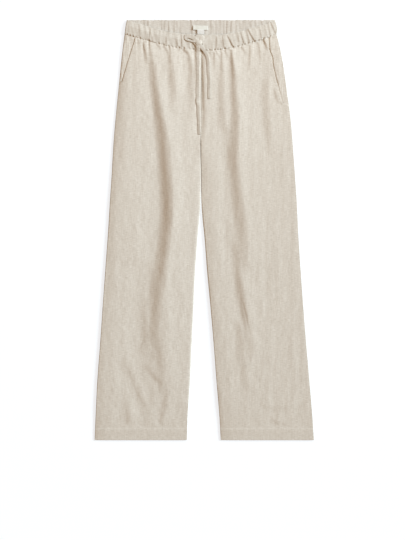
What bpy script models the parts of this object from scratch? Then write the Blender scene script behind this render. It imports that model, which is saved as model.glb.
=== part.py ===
"""Linen drawstring trousers laid flat on their back, one closed solid for each sewn piece.

Run in Blender 4.5, for instance with: blender --background --python part.py

The garment lies in the XY plane with its waist towards +Y and its underside on z = 0. The
origin is the middle of that footprint. Places on the cloth are given in millimetres as x,
from the middle line, and down, from the waist's top edge towards the hem. Heights are in
millimetres too. flat_to_world turns them into metres at the end.
"""

import math

import bmesh
import bpy
from mathutils import Vector

MM = 0.001
NAME = "linen_drawstring_trousers"

# Driving sizes, in millimetres.
OUTSEAM = 1050.0
BAND_DEPTH = 36.0
CROTCH_DOWN = 315.0
HEM_DEPTH = 30.0
CLOTH = 1.2
HEM_EXTRA = 0.5
HEM_LIFT = 0.7
HEM_BACK_SHARE = 0.5
BACK_CLOTH = 1.0
SEAM_GAP = 0.3
CENTRE_SEAM_X = -7.5
AIR_LIMIT = 3.9
TOP_LIMIT = BACK_CLOTH + AIR_LIMIT + CLOTH

# Half outline of each leg. down is measured from the waist edge, the others are x.
OUTLINE_COLUMNS = ("down", "outer_left", "inner_left", "inner_right", "outer_right")
OUTLINE = (
    (0, -195.0, -7.5, -7.5, 177.0),
    (10, -197.5, -7.5, -7.5, 181.0),
    (26, -198.0, -7.5, -7.5, 183.5),
    (36, -198.0, -7.5, -7.5, 180.5),
    (100, -205.0, -7.5, -7.5, 195.0),
    (176, -214.0, -7.5, -7.5, 206.0),
    (251, -222.0, -7.5, -7.5, 215.0),
    (315, -227.0, -7.5, -7.5, 220.5),
    (389, -231.0, -8.2, -6.6, 226.0),
    (451, -235.0, -12.0, -1.5, 230.5),
    (539, -240.0, -17.0, 3.5, 236.0),
    (629, -247.0, -23.0, 9.5, 242.0),
    (719, -254.0, -28.0, 18.0, 248.5),
    (809, -260.5, -32.0, 25.0, 255.0),
    (899, -266.5, -36.0, 31.5, 263.0),
    (989, -272.0, -41.0, 38.5, 270.5),
    (1050, -274.5, -43.0, 41.0, 274.5),
)

# The seam that joins the front waistband to the front panels dips towards the middle.
BAND_SEAM = ((-198, 36), (-150, 50), (-88, 66), (-40, 73), (12, 77), (70, 70), (127, 55), (184, 36))

# Pocket openings: (down, x) along each slant line, from the band seam to the bar tack.
POCKET_LINE = {
    "left": ((36, -171.0), (57, -176.0), (100, -189.5), (152, -205.0)),
    "right": ((36, 160.0), (62, 162.5), (113, 171.0), (159, 182.0), (206, 190.0)),
}
POCKET_TURN = 8.0
POCKET_CROWDING = 4
FACING_TUCK = 8.0
FACING_TUCK_LENGTH = 30.0
FACING_WALL = 1.0
FACING_SINK = 0.5

# Front surface: it rises from its edges to a low crown, then the folds are taken out of it.
EDGE_HEIGHT = BACK_CLOTH + SEAM_GAP + CLOTH
CROWN = 3.0
EDGE_SOFTNESS = 12.0
CENTRE_GROOVE = 1.3
CENTRE_GROOVE_WIDTH = 9.0
LEGS_PART_LENGTH = 60.0
HEM_FLATTENING = 0.6
HEM_FLAT_FROM = 920.0
HEM_FLAT_LENGTH = 120.0

# Main folds. Each runs through three points (x, down). depth is taken out of the surface, so
# a ridge has a negative depth. The steep side of a fold faces the side named by lean: +1 is +X.
# A fold fades out over a share of its run, and runs past its two end points by another.
FOLD_LEAN = 0.45
FOLD_FADE = 0.3
FOLD_OVERRUN = 0.1
FOLD_COLUMNS = ("x0", "down0", "x1", "down1", "x2", "down2", "half_width", "depth", "lean")
FOLDS = (
    (-140, 96, -112, 270, -92, 470, 15, 3.0, 1),
    (-92, 430, -100, 580, -140, 790, 16, 2.4, 1),
    (-91, 84, -84, 125, -74, 190, 9, 1.8, 0),
    (-32, 80, -32, 140, -34, 215, 9, 1.6, 0),
    (-162, 62, -157, 100, -152, 160, 7, 1.3, 0),
    (-60, 250, -64, 360, -62, 470, 22, -0.7, 0),
    (71, 76, 78, 200, 70, 335, 12, 2.7, -1),
    (69, 300, 84, 430, 84, 560, 13, 2.5, -1),
    (78, 560, 88, 660, 114, 790, 12, 2.2, -1),
    (84, 740, 83, 780, 80, 830, 9, 1.4, 0),
    (42, 82, 42, 120, 44, 175, 8, 1.4, 0),
    (111, 70, 112, 98, 116, 140, 8, 1.4, 0),
    (160, 170, 157, 260, 164, 350, 10, 1.2, 0),
    (40, 230, 34, 360, 40, 480, 18, -0.7, 0),
    (-195, 885, -178, 905, -155, 930, 10, 1.3, 0),
    (-162, 860, -135, 890, -100, 915, 11, 1.4, 0),
    (-200, 948, -172, 955, -140, 950, 9, 1.0, 0),
    (172, 956, 215, 960, 258, 957, 8, 0.9, 0),
    (140, 840, 168, 862, 205, 875, 11, 0.9, 0),
)

# Gathers below the band, counted on one front panel, and along each stretch of the band. Each
# gather dies away over its own length, and all of them fade near a panel's two edges.
PANEL_GATHERS = 11
PANEL_GATHER_HEIGHT = 0.9
GATHER_LENGTH_LEAST = 30.0
GATHER_LENGTH_MORE = 34.0
GATHER_FADE_SHARE = 1 / 12
GATHER_CLEAR_SHARE = 0.05
BAND_GATHERS = 28
COLUMNS_PER_GATHER = 4

# Rows of a leg panel, as distances down from the band: close together where it is gathered.
GATHER_ROWS = (0, 9, 19, 31, 46, 66, 92)
LEG_ROW_PITCH = 56.0
ROW_CLEARANCE = 12.0
SEAM_DIP_LENGTH = 300.0

BACK_BAND_MEAN = 2.4
BACK_BAND_WAVE = 0.7
BACK_BAND_ROUNDING = 0.5
BAND_END_DROP = 0.9
BAND_END_CALM = 0.8
BAND_END_LENGTH = 14.0
BAND_EDGE_SHARE = 1 / 12
FRONT_BAND_WALL = 2.0
FRONT_BAND_WAVE = 0.8
FRONT_BAND_SAG = 0.8
FRONT_BAND_SAG_LENGTH = 30.0
FRONT_BAND_ROUNDING = 0.7

# The band's gathers drift along it, as (share of its length, waves), and lean on the right.
BAND_DRIFT = ((0.006, 3.3), (0.004, 7.1))
BAND_LEAN = {"slope": 0.45, "from_x": 20.0, "to_x": 165.0, "rise": 60.0, "fall": 30.0}

TAPE_WIDTH = 9.5
TAPE_WALL = 1.4
BAND_CLEARANCE = 4.0

# Drawstring tails: x, down, and lift above the cloth that they lie on.
TAIL_COLUMNS = ("x", "down", "lift")
TAIL_RIGHT = (
    (-9.2, 66.2, 1.7),
    (-4.2, 70.8, 0.8),
    (1.1, 77.0, 0.4),
    (7.4, 88.8, 0.4),
    (11.1, 102.3, 0.4),
    (11.9, 128.3, 0.4),
    (13.4, 157.0, 0.4),
    (13.9, 197.3, 0.4),
)
TAIL_LEFT = (
    (-18.6, 66.8, 1.7),
    (-17.4, 72.0, 0.8),
    (-16.1, 80.0, 0.4),
    (-15.9, 101.3, 0.4),
    (-16.4, 151.3, 0.4),
    (-15.6, 201.3, 0.4),
    (-14.6, 245.0, 0.4),
    (-13.1, 286.3, 0.4),
)

# Bow loops: x, down, height, and roll of the tape about its run, 0 where it lies face up.
STATION_COLUMNS = ("x", "down", "height", "roll")
LOOP_LEFT = (
    (-22.6, 55.5, 10.6, 64),
    (-32.0, 54.2, 10.8, 70),
    (-42.0, 52.2, 10.8, 72),
    (-48.6, 47.6, 11.2, 56),
    (-49.6, 41.2, 12.2, 36),
    (-44.0, 37.0, 13.0, 20),
    (-35.0, 38.2, 13.4, 12),
    (-26.5, 44.6, 13.6, 4),
    (-20.6, 50.0, 13.4, 0),
)
LOOP_RIGHT = (
    (-15.2, 49.2, 9.8, 4),
    (-16.6, 42.5, 10.2, 14),
    (-14.8, 37.6, 10.6, 24),
    (-9.4, 35.0, 10.8, 28),
    (-3.6, 37.4, 10.6, 24),
    (-2.6, 43.4, 10.2, 14),
    (-4.4, 48.6, 9.8, 6),
    (-8.0, 52.2, 9.6, 2),
)
KNOT_CENTRE = (-14.5, 57.5, 9.9)
KNOT_HALF_SIZE = (7.6, 8.2, 4.1)
KNOT_WRAP = {"height": 0.07, "turns": 7.0, "slant": 0.6}

LABEL_TOP_DOWN = 13.5
LABEL_MAIN = {"x0": -29.0, "x1": 12.0, "depth": 12.0}
LABEL_SIZE = {"x0": -18.0, "x1": 0.0, "depth": 10.0}
LABEL_WALL = 1.0
LABEL_WAVE = 0.35


def flat_to_world(x, down, height):
    """The world point, in metres, of a place on the laid-out garment in millimetres."""
    return Vector((x, OUTSEAM / 2 - down, height)) * MM


def ease(value):
    """0 below 0, 1 above 1 and a smooth rise between."""
    value = min(max(value, 0.0), 1.0)
    return value * value * (3 - 2 * value)


def read_curve(points, at):
    """The value at a place, on a smooth curve through (place, value) pairs."""
    last = len(points) - 1
    spot = 0
    while spot < last - 1 and at > points[spot + 1][0]:
        spot += 1
    (start, low), (end, high) = points[spot], points[spot + 1]
    share = min(max((at - start) / (end - start), 0.0), 1.0)

    def slope(index):
        before, after = points[max(index - 1, 0)], points[min(index + 1, last)]
        return (after[1] - before[1]) / (after[0] - before[0]) * (end - start)

    square, cube = share ** 2, share ** 3
    return (
        low * (2 * cube - 3 * square + 1)
        + slope(spot) * (cube - 2 * square + share)
        + high * (3 * square - 2 * cube)
        + slope(spot + 1) * (cube - square)
    )


def outline_x(column, down):
    """x of one edge of the outline at a distance down."""
    place = OUTLINE_COLUMNS.index(column)
    return read_curve([(row[0], row[place]) for row in OUTLINE], down)


def band_seam_down(x):
    """How far down the front band's lower seam is at x."""
    return read_curve(BAND_SEAM, x)


def fold_profile(distance, half_width, lean):
    """Depth share across a fold: a soft trough, steeper on the side that it leans to."""
    squeeze = 1.0 - FOLD_LEAN * lean * math.copysign(1.0, distance)
    return math.exp(-((distance / (half_width * squeeze)) ** 2))


def fold_depth(x, down):
    """What the main folds take out of the front surface at a place."""
    total = 0.0
    for row in FOLDS:
        fold = dict(zip(FOLD_COLUMNS, row))
        start = Vector((fold["x0"], fold["down0"]))
        middle = Vector((fold["x1"], fold["down1"]))
        end = Vector((fold["x2"], fold["down2"]))
        along = end - start
        run = along.length
        along /= run
        across = Vector((along.y, -along.x))
        offset = Vector((x, down)) - start
        share = offset.dot(along) / run
        if not -FOLD_OVERRUN < share < 1 + FOLD_OVERRUN:
            continue
        bow = (middle - start).dot(across) * 4 * share * (1 - share)
        distance = offset.dot(across) - bow
        fade = ease((share + FOLD_OVERRUN) / FOLD_FADE)
        fade *= ease((1 + FOLD_OVERRUN - share) / FOLD_FADE)
        total += fold["depth"] * fade * fold_profile(distance, fold["half_width"], fold["lean"])
    return total


def front_height(side, x, down):
    """Height of the front panel's face, before its gathers."""
    outer = abs(x - outline_x("outer_" + side, down))
    inner = abs(x - outline_x("inner_" + side, down))
    opened = ease((down - CROTCH_DOWN) / LEGS_PART_LENGTH)
    rise = 1 - math.exp(-outer / EDGE_SOFTNESS)
    rise *= 1 - opened * math.exp(-inner / EDGE_SOFTNESS)
    groove = CENTRE_GROOVE * (1 - opened) * math.exp(-((inner / CENTRE_GROOVE_WIDTH) ** 2))
    rise *= 1 - HEM_FLATTENING * ease((down - HEM_FLAT_FROM) / HEM_FLAT_LENGTH)
    height = EDGE_HEIGHT + CROWN * rise - (groove + fold_depth(x, down)) * rise
    return min(max(height, EDGE_HEIGHT), TOP_LIMIT)


def uneven(index, seed):
    """A scatter between 0 and 1, so that no two gathers side by side are alike."""
    return math.sin(2.3 * index + seed) ** 2


def gather_height(share, below_seam):
    """Rise and fall of the gathers across a panel, dying away below the band."""
    phase = share * PANEL_GATHERS
    length = GATHER_LENGTH_LEAST + GATHER_LENGTH_MORE * uneven(round(phase), 0.6)
    fade = ease((share - GATHER_CLEAR_SHARE) / GATHER_FADE_SHARE)
    fade *= ease((1 - share) / GATHER_FADE_SHARE)
    return PANEL_GATHER_HEIGHT * fade * math.cos(phase * math.tau) * math.exp(-below_seam / length)


def pocket_x(side, down):
    """x of the pocket's slant line at a distance down."""
    return read_curve(POCKET_LINE[side], down)


def pocket_cut(side, down):
    """How far the pocket line lies inside the side seam, and 0 below the pocket."""
    below = ease((down - POCKET_LINE[side][-1][0]) / POCKET_TURN)
    return (pocket_x(side, down) - outline_x("outer_" + side, down)) * (1 - below)


def seam_shift(x, row):
    """Down of a panel row: it follows the band's seam at the top and is level lower down."""
    fade = max(1 - row / SEAM_DIP_LENGTH, 0.0) ** 2
    return BAND_DEPTH + row + SEAM_GAP + (band_seam_down(x) - BAND_DEPTH) * fade


def panel_rows(stops):
    """Row stops of a leg panel from the band to the hem, with those that a piece adds."""
    hem_fold = OUTSEAM - HEM_DEPTH - BAND_DEPTH - SEAM_GAP
    rows = list(GATHER_ROWS)
    count = round((hem_fold - GATHER_ROWS[-1]) / LEG_ROW_PITCH)
    pitch = (hem_fold - GATHER_ROWS[-1]) / count
    rows += [GATHER_ROWS[-1] + pitch * step for step in range(1, count + 1)]
    rows += [hem_fold + 1.0, OUTSEAM - BAND_DEPTH - SEAM_GAP]
    rows = [row for row in rows if all(abs(row - stop) > ROW_CLEARANCE for stop in stops)]
    return sorted(rows + list(stops))


def hem_extra(down):
    """Extra thickness where the hem is turned up."""
    return HEM_EXTRA * ease(down - (OUTSEAM - HEM_DEPTH))


def front_panel_point(side, rows, u, v):
    """Face and back of a front leg panel, u from outer to inner edge, v from band to hem."""
    row = rows[round(v * (len(rows) - 1))]
    sign = -1 if side == "left" else 1
    x = 0.0
    down = BAND_DEPTH + row
    for _ in range(3):
        outer = outline_x("outer_" + side, down)
        inner = outline_x("inner_" + side, down) + sign * SEAM_GAP / 2
        x = outer + (inner - outer) * u + pocket_cut(side, down) * (1 - u) ** POCKET_CROWDING
        down = seam_shift(x, row)
    height = front_height(side, x, down) + gather_height(u, row)
    height = min(max(height, EDGE_HEIGHT), TOP_LIMIT)
    back = max(height - CLOTH, BACK_CLOTH + SEAM_GAP) + hem_extra(down) * HEM_LIFT
    return flat_to_world(x, down, height + hem_extra(down)), flat_to_world(x, down, back)


def back_panel_point(side, rows, u, v):
    """Face and underside of a back leg panel, which lies flat."""
    row = rows[round(v * (len(rows) - 1))]
    down = BAND_DEPTH + SEAM_GAP + row
    sign = -1 if side == "left" else 1
    outer = outline_x("outer_" + side, down)
    inner = outline_x("inner_" + side, down) + sign * SEAM_GAP / 2
    x = outer + (inner - outer) * u
    height = BACK_CLOTH + hem_extra(down) * HEM_BACK_SHARE
    return flat_to_world(x, down, height), flat_to_world(x, down, 0.0)


def facing_point(side, u, v):
    """Face and back of a pocket facing, u from the side seam to under the pocket's edge."""
    end = POCKET_LINE[side][-1][0] - SEAM_GAP
    sign = -1 if side == "left" else 1
    x = 0.0
    down = BAND_DEPTH
    for _ in range(3):
        outer = outline_x("outer_" + side, down)
        tuck = FACING_TUCK * ease((end - down) / FACING_TUCK_LENGTH)
        inner = pocket_x(side, down) - sign * tuck
        x = outer + (inner - outer) * u
        top = band_seam_down(x) + SEAM_GAP
        down = top + (end - top) * v
    floor = BACK_CLOTH + SEAM_GAP
    height = front_height(side, x, down) - CLOTH - SEAM_GAP - FACING_SINK * u
    height = max(height, floor + FACING_WALL)
    return flat_to_world(x, down, height), flat_to_world(x, down, height - FACING_WALL)


def band_x(u, v):
    """x along the waistband. Its gathers are uneven, and lean over on the right."""
    share = u
    for size, waves in BAND_DRIFT:
        share += size * (math.sin(math.tau * waves * u) - math.sin(math.tau * waves) * u)
    down = BAND_DEPTH * v
    left = outline_x("outer_left", down)
    right = outline_x("outer_right", down)
    x = left + (right - left) * share
    leaning = ease((x - BAND_LEAN["from_x"]) / BAND_LEAN["rise"])
    leaning *= ease((BAND_LEAN["to_x"] - x) / BAND_LEAN["fall"])
    return x + BAND_LEAN["slope"] * leaning * (v - 0.5) * BAND_DEPTH


def band_wave(u, shift):
    """Rise and fall of the band's gathers at u, uneven in height."""
    phase = u * BAND_GATHERS + shift
    size = 0.55 + 0.45 * uneven(round(phase), shift)
    return size * math.cos(phase * math.tau)


def edge_rounding(v):
    """1 at the band's two long edges and 0 along its middle."""
    return math.exp(-v / BAND_EDGE_SHARE) + math.exp((v - 1) / BAND_EDGE_SHARE)


def end_share(x):
    """1 at the band's two ends and 0 along its middle."""
    reach = min(x - OUTLINE[0][1], OUTLINE[0][4] - x)
    return math.exp(-max(reach, 0.0) / BAND_END_LENGTH)


def back_band_top(x):
    """Height that the back band's gathers never pass at x."""
    return BACK_BAND_MEAN + BACK_BAND_WAVE - BAND_END_DROP * end_share(x)


def back_band_height(u, v):
    """Height of the back band's inner face, which looks up."""
    x = band_x(u, v)
    swing = BACK_BAND_WAVE * (1 - BAND_END_CALM * end_share(x))
    rounding = BACK_BAND_ROUNDING * edge_rounding(v)
    return back_band_top(x) - swing + swing * band_wave(u, 0.0) - rounding


def back_band_point(u, v):
    """Face and underside of the back waistband, which lies flat."""
    x = band_x(u, v)
    down = BAND_DEPTH * v
    return flat_to_world(x, down, back_band_height(u, v)), flat_to_world(x, down, 0.0)


def front_band_place(u, v):
    """x, down and face height of the front waistband, which lies on the back one at the sides."""
    x = band_x(u, v)
    low = band_seam_down(x)
    down = low - BAND_DEPTH * (1 - v)
    off_back = ease((down - BAND_DEPTH) / FRONT_BAND_SAG_LENGTH)
    under = back_band_top(x) + SEAM_GAP - FRONT_BAND_SAG * off_back
    swing = FRONT_BAND_WAVE * (1 - BAND_END_CALM * end_share(x))
    rounding = FRONT_BAND_ROUNDING * edge_rounding(v)
    return x, down, under, under + FRONT_BAND_WALL + swing * band_wave(u, 0.4) - rounding


def front_band_point(u, v):
    """Face and back of the front waistband."""
    x, down, under, height = front_band_place(u, v)
    return flat_to_world(x, down, height), flat_to_world(x, down, under)


def back_band_u(x):
    """The back band's u at x, at mid depth."""
    low, high = 0.0, 1.0
    for _ in range(30):
        middle = (low + high) / 2
        if band_x(middle, 0.5) < x:
            low = middle
        else:
            high = middle
    return low


def label_point(label, down_top, u, v):
    """Face and back of a label: the back band's points, moved out by the gap."""
    x = label["x0"] + (label["x1"] - label["x0"]) * u
    down = down_top + label["depth"] * v
    seat = back_band_top(x) + SEAM_GAP + LABEL_WAVE * band_wave(back_band_u(x), 0.0)
    return flat_to_world(x, down, seat + LABEL_WALL), flat_to_world(x, down, seat)


def cloth_below(x, down):
    """Height that the front's cloth never passes under a tape at a place."""
    if down < band_seam_down(x) + BAND_CLEARANCE:
        return back_band_top(x) + SEAM_GAP - FRONT_BAND_SAG + FRONT_BAND_WALL + FRONT_BAND_WAVE
    side = "left" if x < CENTRE_SEAM_X else "right"
    reach = TAPE_WIDTH * 0.65
    around = [front_height(side, x + reach * share, down) for share in (-1, -0.5, 0, 0.5, 1)]
    below_seam = max(down - band_seam_down(x), 0.0)
    lump = PANEL_GATHER_HEIGHT * math.exp(-below_seam / (GATHER_LENGTH_LEAST + GATHER_LENGTH_MORE))
    return min(max(around) + lump, TOP_LIMIT)


def tail_stations(table):
    """Centre line of a tail as rows of x, down, height and roll, from its table."""
    rows = [dict(zip(TAIL_COLUMNS, row)) for row in table]
    stations = []
    for row in rows:
        height = cloth_below(row["x"], row["down"]) + row["lift"] + TAPE_WALL / 2
        stations.append((row["x"], row["down"], height, 0.0))
    return stations


def tape_line(stations, share):
    """Point, run direction and roll of a tape at a share of its length."""
    lengths = [0.0]
    for before, after in zip(stations, stations[1:]):
        lengths.append(lengths[-1] + math.dist(before[:3], after[:3]))

    def at(distance):
        distance = min(max(distance, 0.0), lengths[-1])
        return [
            read_curve(list(zip(lengths, [row[part] for row in stations])), distance)
            for part in range(len(STATION_COLUMNS))
        ]

    here = share * lengths[-1]
    x, down, height, roll = at(here)
    ahead, behind = at(here + 0.5), at(here - 0.5)
    run = (flat_to_world(*ahead[:3]) - flat_to_world(*behind[:3])).normalized()
    return flat_to_world(x, down, height), run, math.radians(roll)


def tape_point(stations, u, v):
    """Face and back of a flat tape, u across it and v along it."""
    centre, run, roll = tape_line(stations, v)
    level = run.cross(Vector((0, 0, 1))).normalized()
    lift = level.cross(run)
    across = level * math.cos(roll) + lift * math.sin(roll)
    face = lift * math.cos(roll) - level * math.sin(roll)
    middle = centre + across * (u - 0.5) * TAPE_WIDTH * MM
    return middle + face * TAPE_WALL / 2 * MM, middle - face * TAPE_WALL / 2 * MM


def make_material(name, colour, roughness):
    """A plain cloth material."""
    material = bpy.data.materials.new(name)
    material.use_nodes = True
    shader = material.node_tree.nodes["Principled BSDF"]
    shader.inputs["Base Color"].default_value = (*colour, 1.0)
    shader.inputs["Roughness"].default_value = roughness
    shader.inputs["Metallic"].default_value = 0.0
    return material


def add_object(name, build, material, collection):
    """Turn a bmesh into a named object with outward faces and smooth shading."""
    bmesh.ops.recalc_face_normals(build, faces=build.faces)
    mesh = bpy.data.meshes.new(name)
    build.to_mesh(mesh)
    build.free()
    mesh.shade_smooth()
    mesh.set_sharp_from_angle(angle=math.radians(50))
    mesh.materials.append(material)
    piece = bpy.data.objects.new(name, mesh)
    collection.objects.link(piece)
    return piece


def cloth_sheet(name, columns, rows, place, material, collection):
    """A closed sheet: an extruded grid whose points take place(u, v) = (face, back)."""
    build = bmesh.new()
    bmesh.ops.create_grid(build, x_segments=columns, y_segments=rows, size=0.5)
    grown = bmesh.ops.extrude_face_region(build, geom=build.faces[:])
    face_side = {item for item in grown["geom"] if isinstance(item, bmesh.types.BMVert)}
    low = min(vert.co.x for vert in build.verts)
    span = max(vert.co.x for vert in build.verts) - low
    for vert in build.verts:
        face, back = place((vert.co.x - low) / span, (vert.co.y - low) / span)
        vert.co = face if vert in face_side else back
    return add_object(name, build, material, collection)


def knot(material, collection):
    """The bow's knot: a low round lump with the wrapping tape's two creases across it."""
    build = bmesh.new()
    bmesh.ops.create_uvsphere(build, u_segments=20, v_segments=12, radius=1.0)
    centre = flat_to_world(*KNOT_CENTRE)
    for vert in build.verts:
        x, y, z = vert.co
        phase = KNOT_WRAP["turns"] * (x + KNOT_WRAP["slant"] * y)
        wrap = 1 + KNOT_WRAP["height"] * math.cos(phase)
        vert.co = centre + Vector(
            (x * KNOT_HALF_SIZE[0] * wrap, y * KNOT_HALF_SIZE[1] * wrap, z * KNOT_HALF_SIZE[2])
        ) * MM
    return add_object("drawstring_knot", build, material, collection)


def main():
    for stale in list(bpy.data.objects):
        bpy.data.objects.remove(stale)
    collection = bpy.data.collections.new(NAME)
    bpy.context.scene.collection.children.link(collection)

    linen = make_material("linen", (0.66, 0.60, 0.51), 0.9)
    inside = make_material("linen_inside", (0.62, 0.56, 0.47), 0.9)
    tape = make_material("drawstring_linen", (0.70, 0.64, 0.55), 0.9)
    satin = make_material("label_satin", (0.80, 0.79, 0.72), 0.6)
    cotton = make_material("label_cotton", (0.88, 0.88, 0.87), 0.8)

    gather_columns = PANEL_GATHERS * COLUMNS_PER_GATHER
    for side in ("left", "right"):
        pocket_end = POCKET_LINE[side][-1][0] - BAND_DEPTH - SEAM_GAP
        front_rows = panel_rows((pocket_end, pocket_end + POCKET_TURN))
        back_rows = panel_rows(())

        def front_place(u, v):
            return front_panel_point(side, front_rows, u, v)

        def back_place(u, v):
            return back_panel_point(side, back_rows, u, v)

        def facing_place(u, v):
            return facing_point(side, u, v)

        cloth_sheet("front_" + side, gather_columns, len(front_rows) - 1, front_place, linen, collection)
        cloth_sheet("back_" + side, 4, len(back_rows) - 1, back_place, inside, collection)
        cloth_sheet("pocket_facing_" + side, 5, 12, facing_place, linen, collection)

    band_columns = BAND_GATHERS * COLUMNS_PER_GATHER
    cloth_sheet("waistband_front", band_columns, 3, front_band_point, linen, collection)
    cloth_sheet("waistband_back", band_columns, 3, back_band_point, inside, collection)

    def main_label_place(u, v):
        return label_point(LABEL_MAIN, LABEL_TOP_DOWN, u, v)

    def size_label_place(u, v):
        below = LABEL_TOP_DOWN + LABEL_MAIN["depth"] + SEAM_GAP
        return label_point(LABEL_SIZE, below, u, v)

    cloth_sheet("label_main", 12, 2, main_label_place, satin, collection)
    cloth_sheet("label_size", 6, 2, size_label_place, cotton, collection)

    tapes = {
        "drawstring_tail_left": (tail_stations(TAIL_LEFT), 34),
        "drawstring_tail_right": (tail_stations(TAIL_RIGHT), 24),
        "drawstring_loop_left": (LOOP_LEFT, 22),
        "drawstring_loop_right": (LOOP_RIGHT, 20),
    }
    for name, (stations, rows) in tapes.items():

        def tape_place(u, v):
            return tape_point(stations, u, v)

        cloth_sheet(name, 2, rows, tape_place, tape, collection)
    knot(tape, collection)


main()
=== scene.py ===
import math

import bpy
import numpy as np
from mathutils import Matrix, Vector


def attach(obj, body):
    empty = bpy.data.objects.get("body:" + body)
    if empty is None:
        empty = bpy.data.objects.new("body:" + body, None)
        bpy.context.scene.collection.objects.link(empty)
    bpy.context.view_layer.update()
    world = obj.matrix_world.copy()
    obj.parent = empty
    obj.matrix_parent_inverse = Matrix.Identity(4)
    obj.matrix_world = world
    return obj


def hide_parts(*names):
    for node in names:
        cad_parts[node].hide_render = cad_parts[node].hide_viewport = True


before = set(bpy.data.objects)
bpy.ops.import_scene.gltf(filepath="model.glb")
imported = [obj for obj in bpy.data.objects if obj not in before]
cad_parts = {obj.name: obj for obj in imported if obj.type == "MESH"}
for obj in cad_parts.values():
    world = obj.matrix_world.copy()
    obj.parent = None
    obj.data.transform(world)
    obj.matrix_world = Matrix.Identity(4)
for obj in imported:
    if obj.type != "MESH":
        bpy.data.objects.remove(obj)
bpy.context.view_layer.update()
print("packed frame loaded,", len(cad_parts), "nodes")

# Places on the laid-out garment are in millimetres: x from its middle line, down from the waist
# edge, and height above the table. toWorld turns them into metres.
mm = 0.001
garment = {
    "outseam": 1050.0,
    "bandDepth": 36.0,
    "crotchDown": 315.0,
    "centreSeamX": -7.5,
    "seamGap": 0.3,
    "seamHeight": 1.75,  # of the front's cloth where it is sewn to the back
    "pocketClose": 8.0,  # mm over which a pocket's mouth closes at its lower end
    "backCloth": 1.0,
    "clothWall": 0.75,
    "undersideFloor": 1.25,  # lowest that the front's cloth comes to the back's
}

# x of the two edges of each leg, by how far down the garment they are.
outlineColumns = ("down", "outerLeft", "innerLeft", "innerRight", "outerRight")
outline = (
    (0, -192.8, -7.5, -7.5, 176.6),
    (10, -195.5, -7.5, -7.5, 180.4),
    (26, -197.7, -7.5, -7.5, 182.9),
    (36, -199.0, -7.5, -7.5, 181.2),
    (54, -201.5, -7.5, -7.5, 186.0),
    (100, -207.0, -7.5, -7.5, 195.8),
    (176, -214.6, -7.5, -7.5, 206.8),
    (251, -222.0, -7.5, -7.5, 216.6),
    (315, -227.2, -9.6, -9.6, 221.9),
    (389, -231.4, -8.3, -8.1, 227.2),
    (451, -235.6, -9.4, -7.2, 231.5),
    (500, -238.5, -12.4, -3.9, 233.8),
    (539, -241.0, -16.0, 0.3, 235.6),
    (629, -247.6, -22.4, 7.2, 241.5),
    (719, -254.0, -26.6, 15.7, 248.0),
    (809, -260.2, -30.6, 23.5, 255.3),
    (899, -267.0, -35.0, 30.3, 263.0),
    (989, -271.4, -41.2, 37.8, 270.4),
    (1050, -274.0, -43.2, 41.2, 274.5),
)
# The seam under the front waistband, as x and down, and each pocket's edge, as down and x.
bandSeam = (
    (-198, 34.6), (-150, 49.5), (-88, 66), (-40, 72.6), (12, 75.8), (70, 69.2), (127, 53.9), (184, 36),
)
pocketLine = {
    "left": ((36, -171.0), (57, -176.0), (100, -189.5), (152, -205.0)),
    "right": (
        (36, 160.0), (62, 161.2), (78, 163.2), (92, 168.6),
        (112, 171.2), (132, 175.2), (160, 182.2), (206, 195.0),
    ),
}


def toWorld(x, down, height):
    return np.stack(np.broadcast_arrays(x, garment["outseam"] / 2 - down, height), -1) * mm


def ease(value):
    value = np.clip(value, 0.0, 1.0)
    return value * value * (3 - 2 * value)


def easeFrom(value, start, length):  # 0 up to the start, and 1 from a length further on
    return ease((value - start) / length)


def bell(value, width):
    return np.exp(-((value / width) ** 2))


def rollOff(share):  # quarter of a circle: 0 at an edge and 1 a radius in
    return np.sqrt(1 - (1 - np.clip(share, 0.0, 1.0)) ** 2)


def readCurve(points, at):  # a smooth curve through (place, value) pairs
    places, values = np.array(points, float).T
    slopes = np.empty_like(values)
    slopes[1:-1] = (values[2:] - values[:-2]) / (places[2:] - places[:-2])
    slopes[0] = (values[1] - values[0]) / (places[1] - places[0])
    slopes[-1] = (values[-1] - values[-2]) / (places[-1] - places[-2])
    at = np.asarray(at, float)
    spot = np.clip(np.searchsorted(places, at) - 1, 0, len(places) - 2)
    span = places[spot + 1] - places[spot]
    share = np.clip((at - places[spot]) / span, 0.0, 1.0)
    square, cube = share**2, share**3
    return (
        values[spot] * (2 * cube - 3 * square + 1)
        + slopes[spot] * span * (cube - 2 * square + share)
        + values[spot + 1] * (3 * square - 2 * cube)
        + slopes[spot + 1] * span * (cube - square)
    )


def outlineX(edge, side, down):  # x of a leg's outer or inner edge
    place = outlineColumns.index(edge + side.title())
    return readCurve([(row[0], row[place]) for row in outline], down)


def seamDown(x):
    return readCurve(bandSeam, x)


def ripple(x, down, acrossLength, alongLength, seed, waves=26):  # seeded, smooth, about -1 to 1
    draw = np.random.default_rng(seed)
    total = np.zeros(np.broadcast(x, down).shape)
    for _ in range(waves):
        turnX, turnDown = draw.normal(0, 1, 2)
        phase = draw.uniform(0, math.tau)
        total += np.sin(math.tau * (turnX * x / acrossLength + turnDown * down / alongLength) + phase)
    return total / math.sqrt(waves)


def unevenness(x, down, waves, seed):  # waves: mm high, then mm long across and along the cloth
    total = 0.0
    for index, (rise, acrossLength, alongLength) in enumerate(waves):
        total += rise * ripple(x, down, acrossLength, alongLength, seed + index)
    return total


def tracedLine(stations, count):  # evenly spaced rows on a smooth line through the stations
    table = np.array(stations, float)
    steps = np.hypot(*np.diff(table[:, :2], axis=0).T)
    lengths = np.concatenate(([0.0], np.cumsum(steps)))
    at = np.linspace(0.0, lengths[-1], count)
    return np.stack([readCurve(list(zip(lengths, column)), at) for column in table.T], 1)


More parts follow.
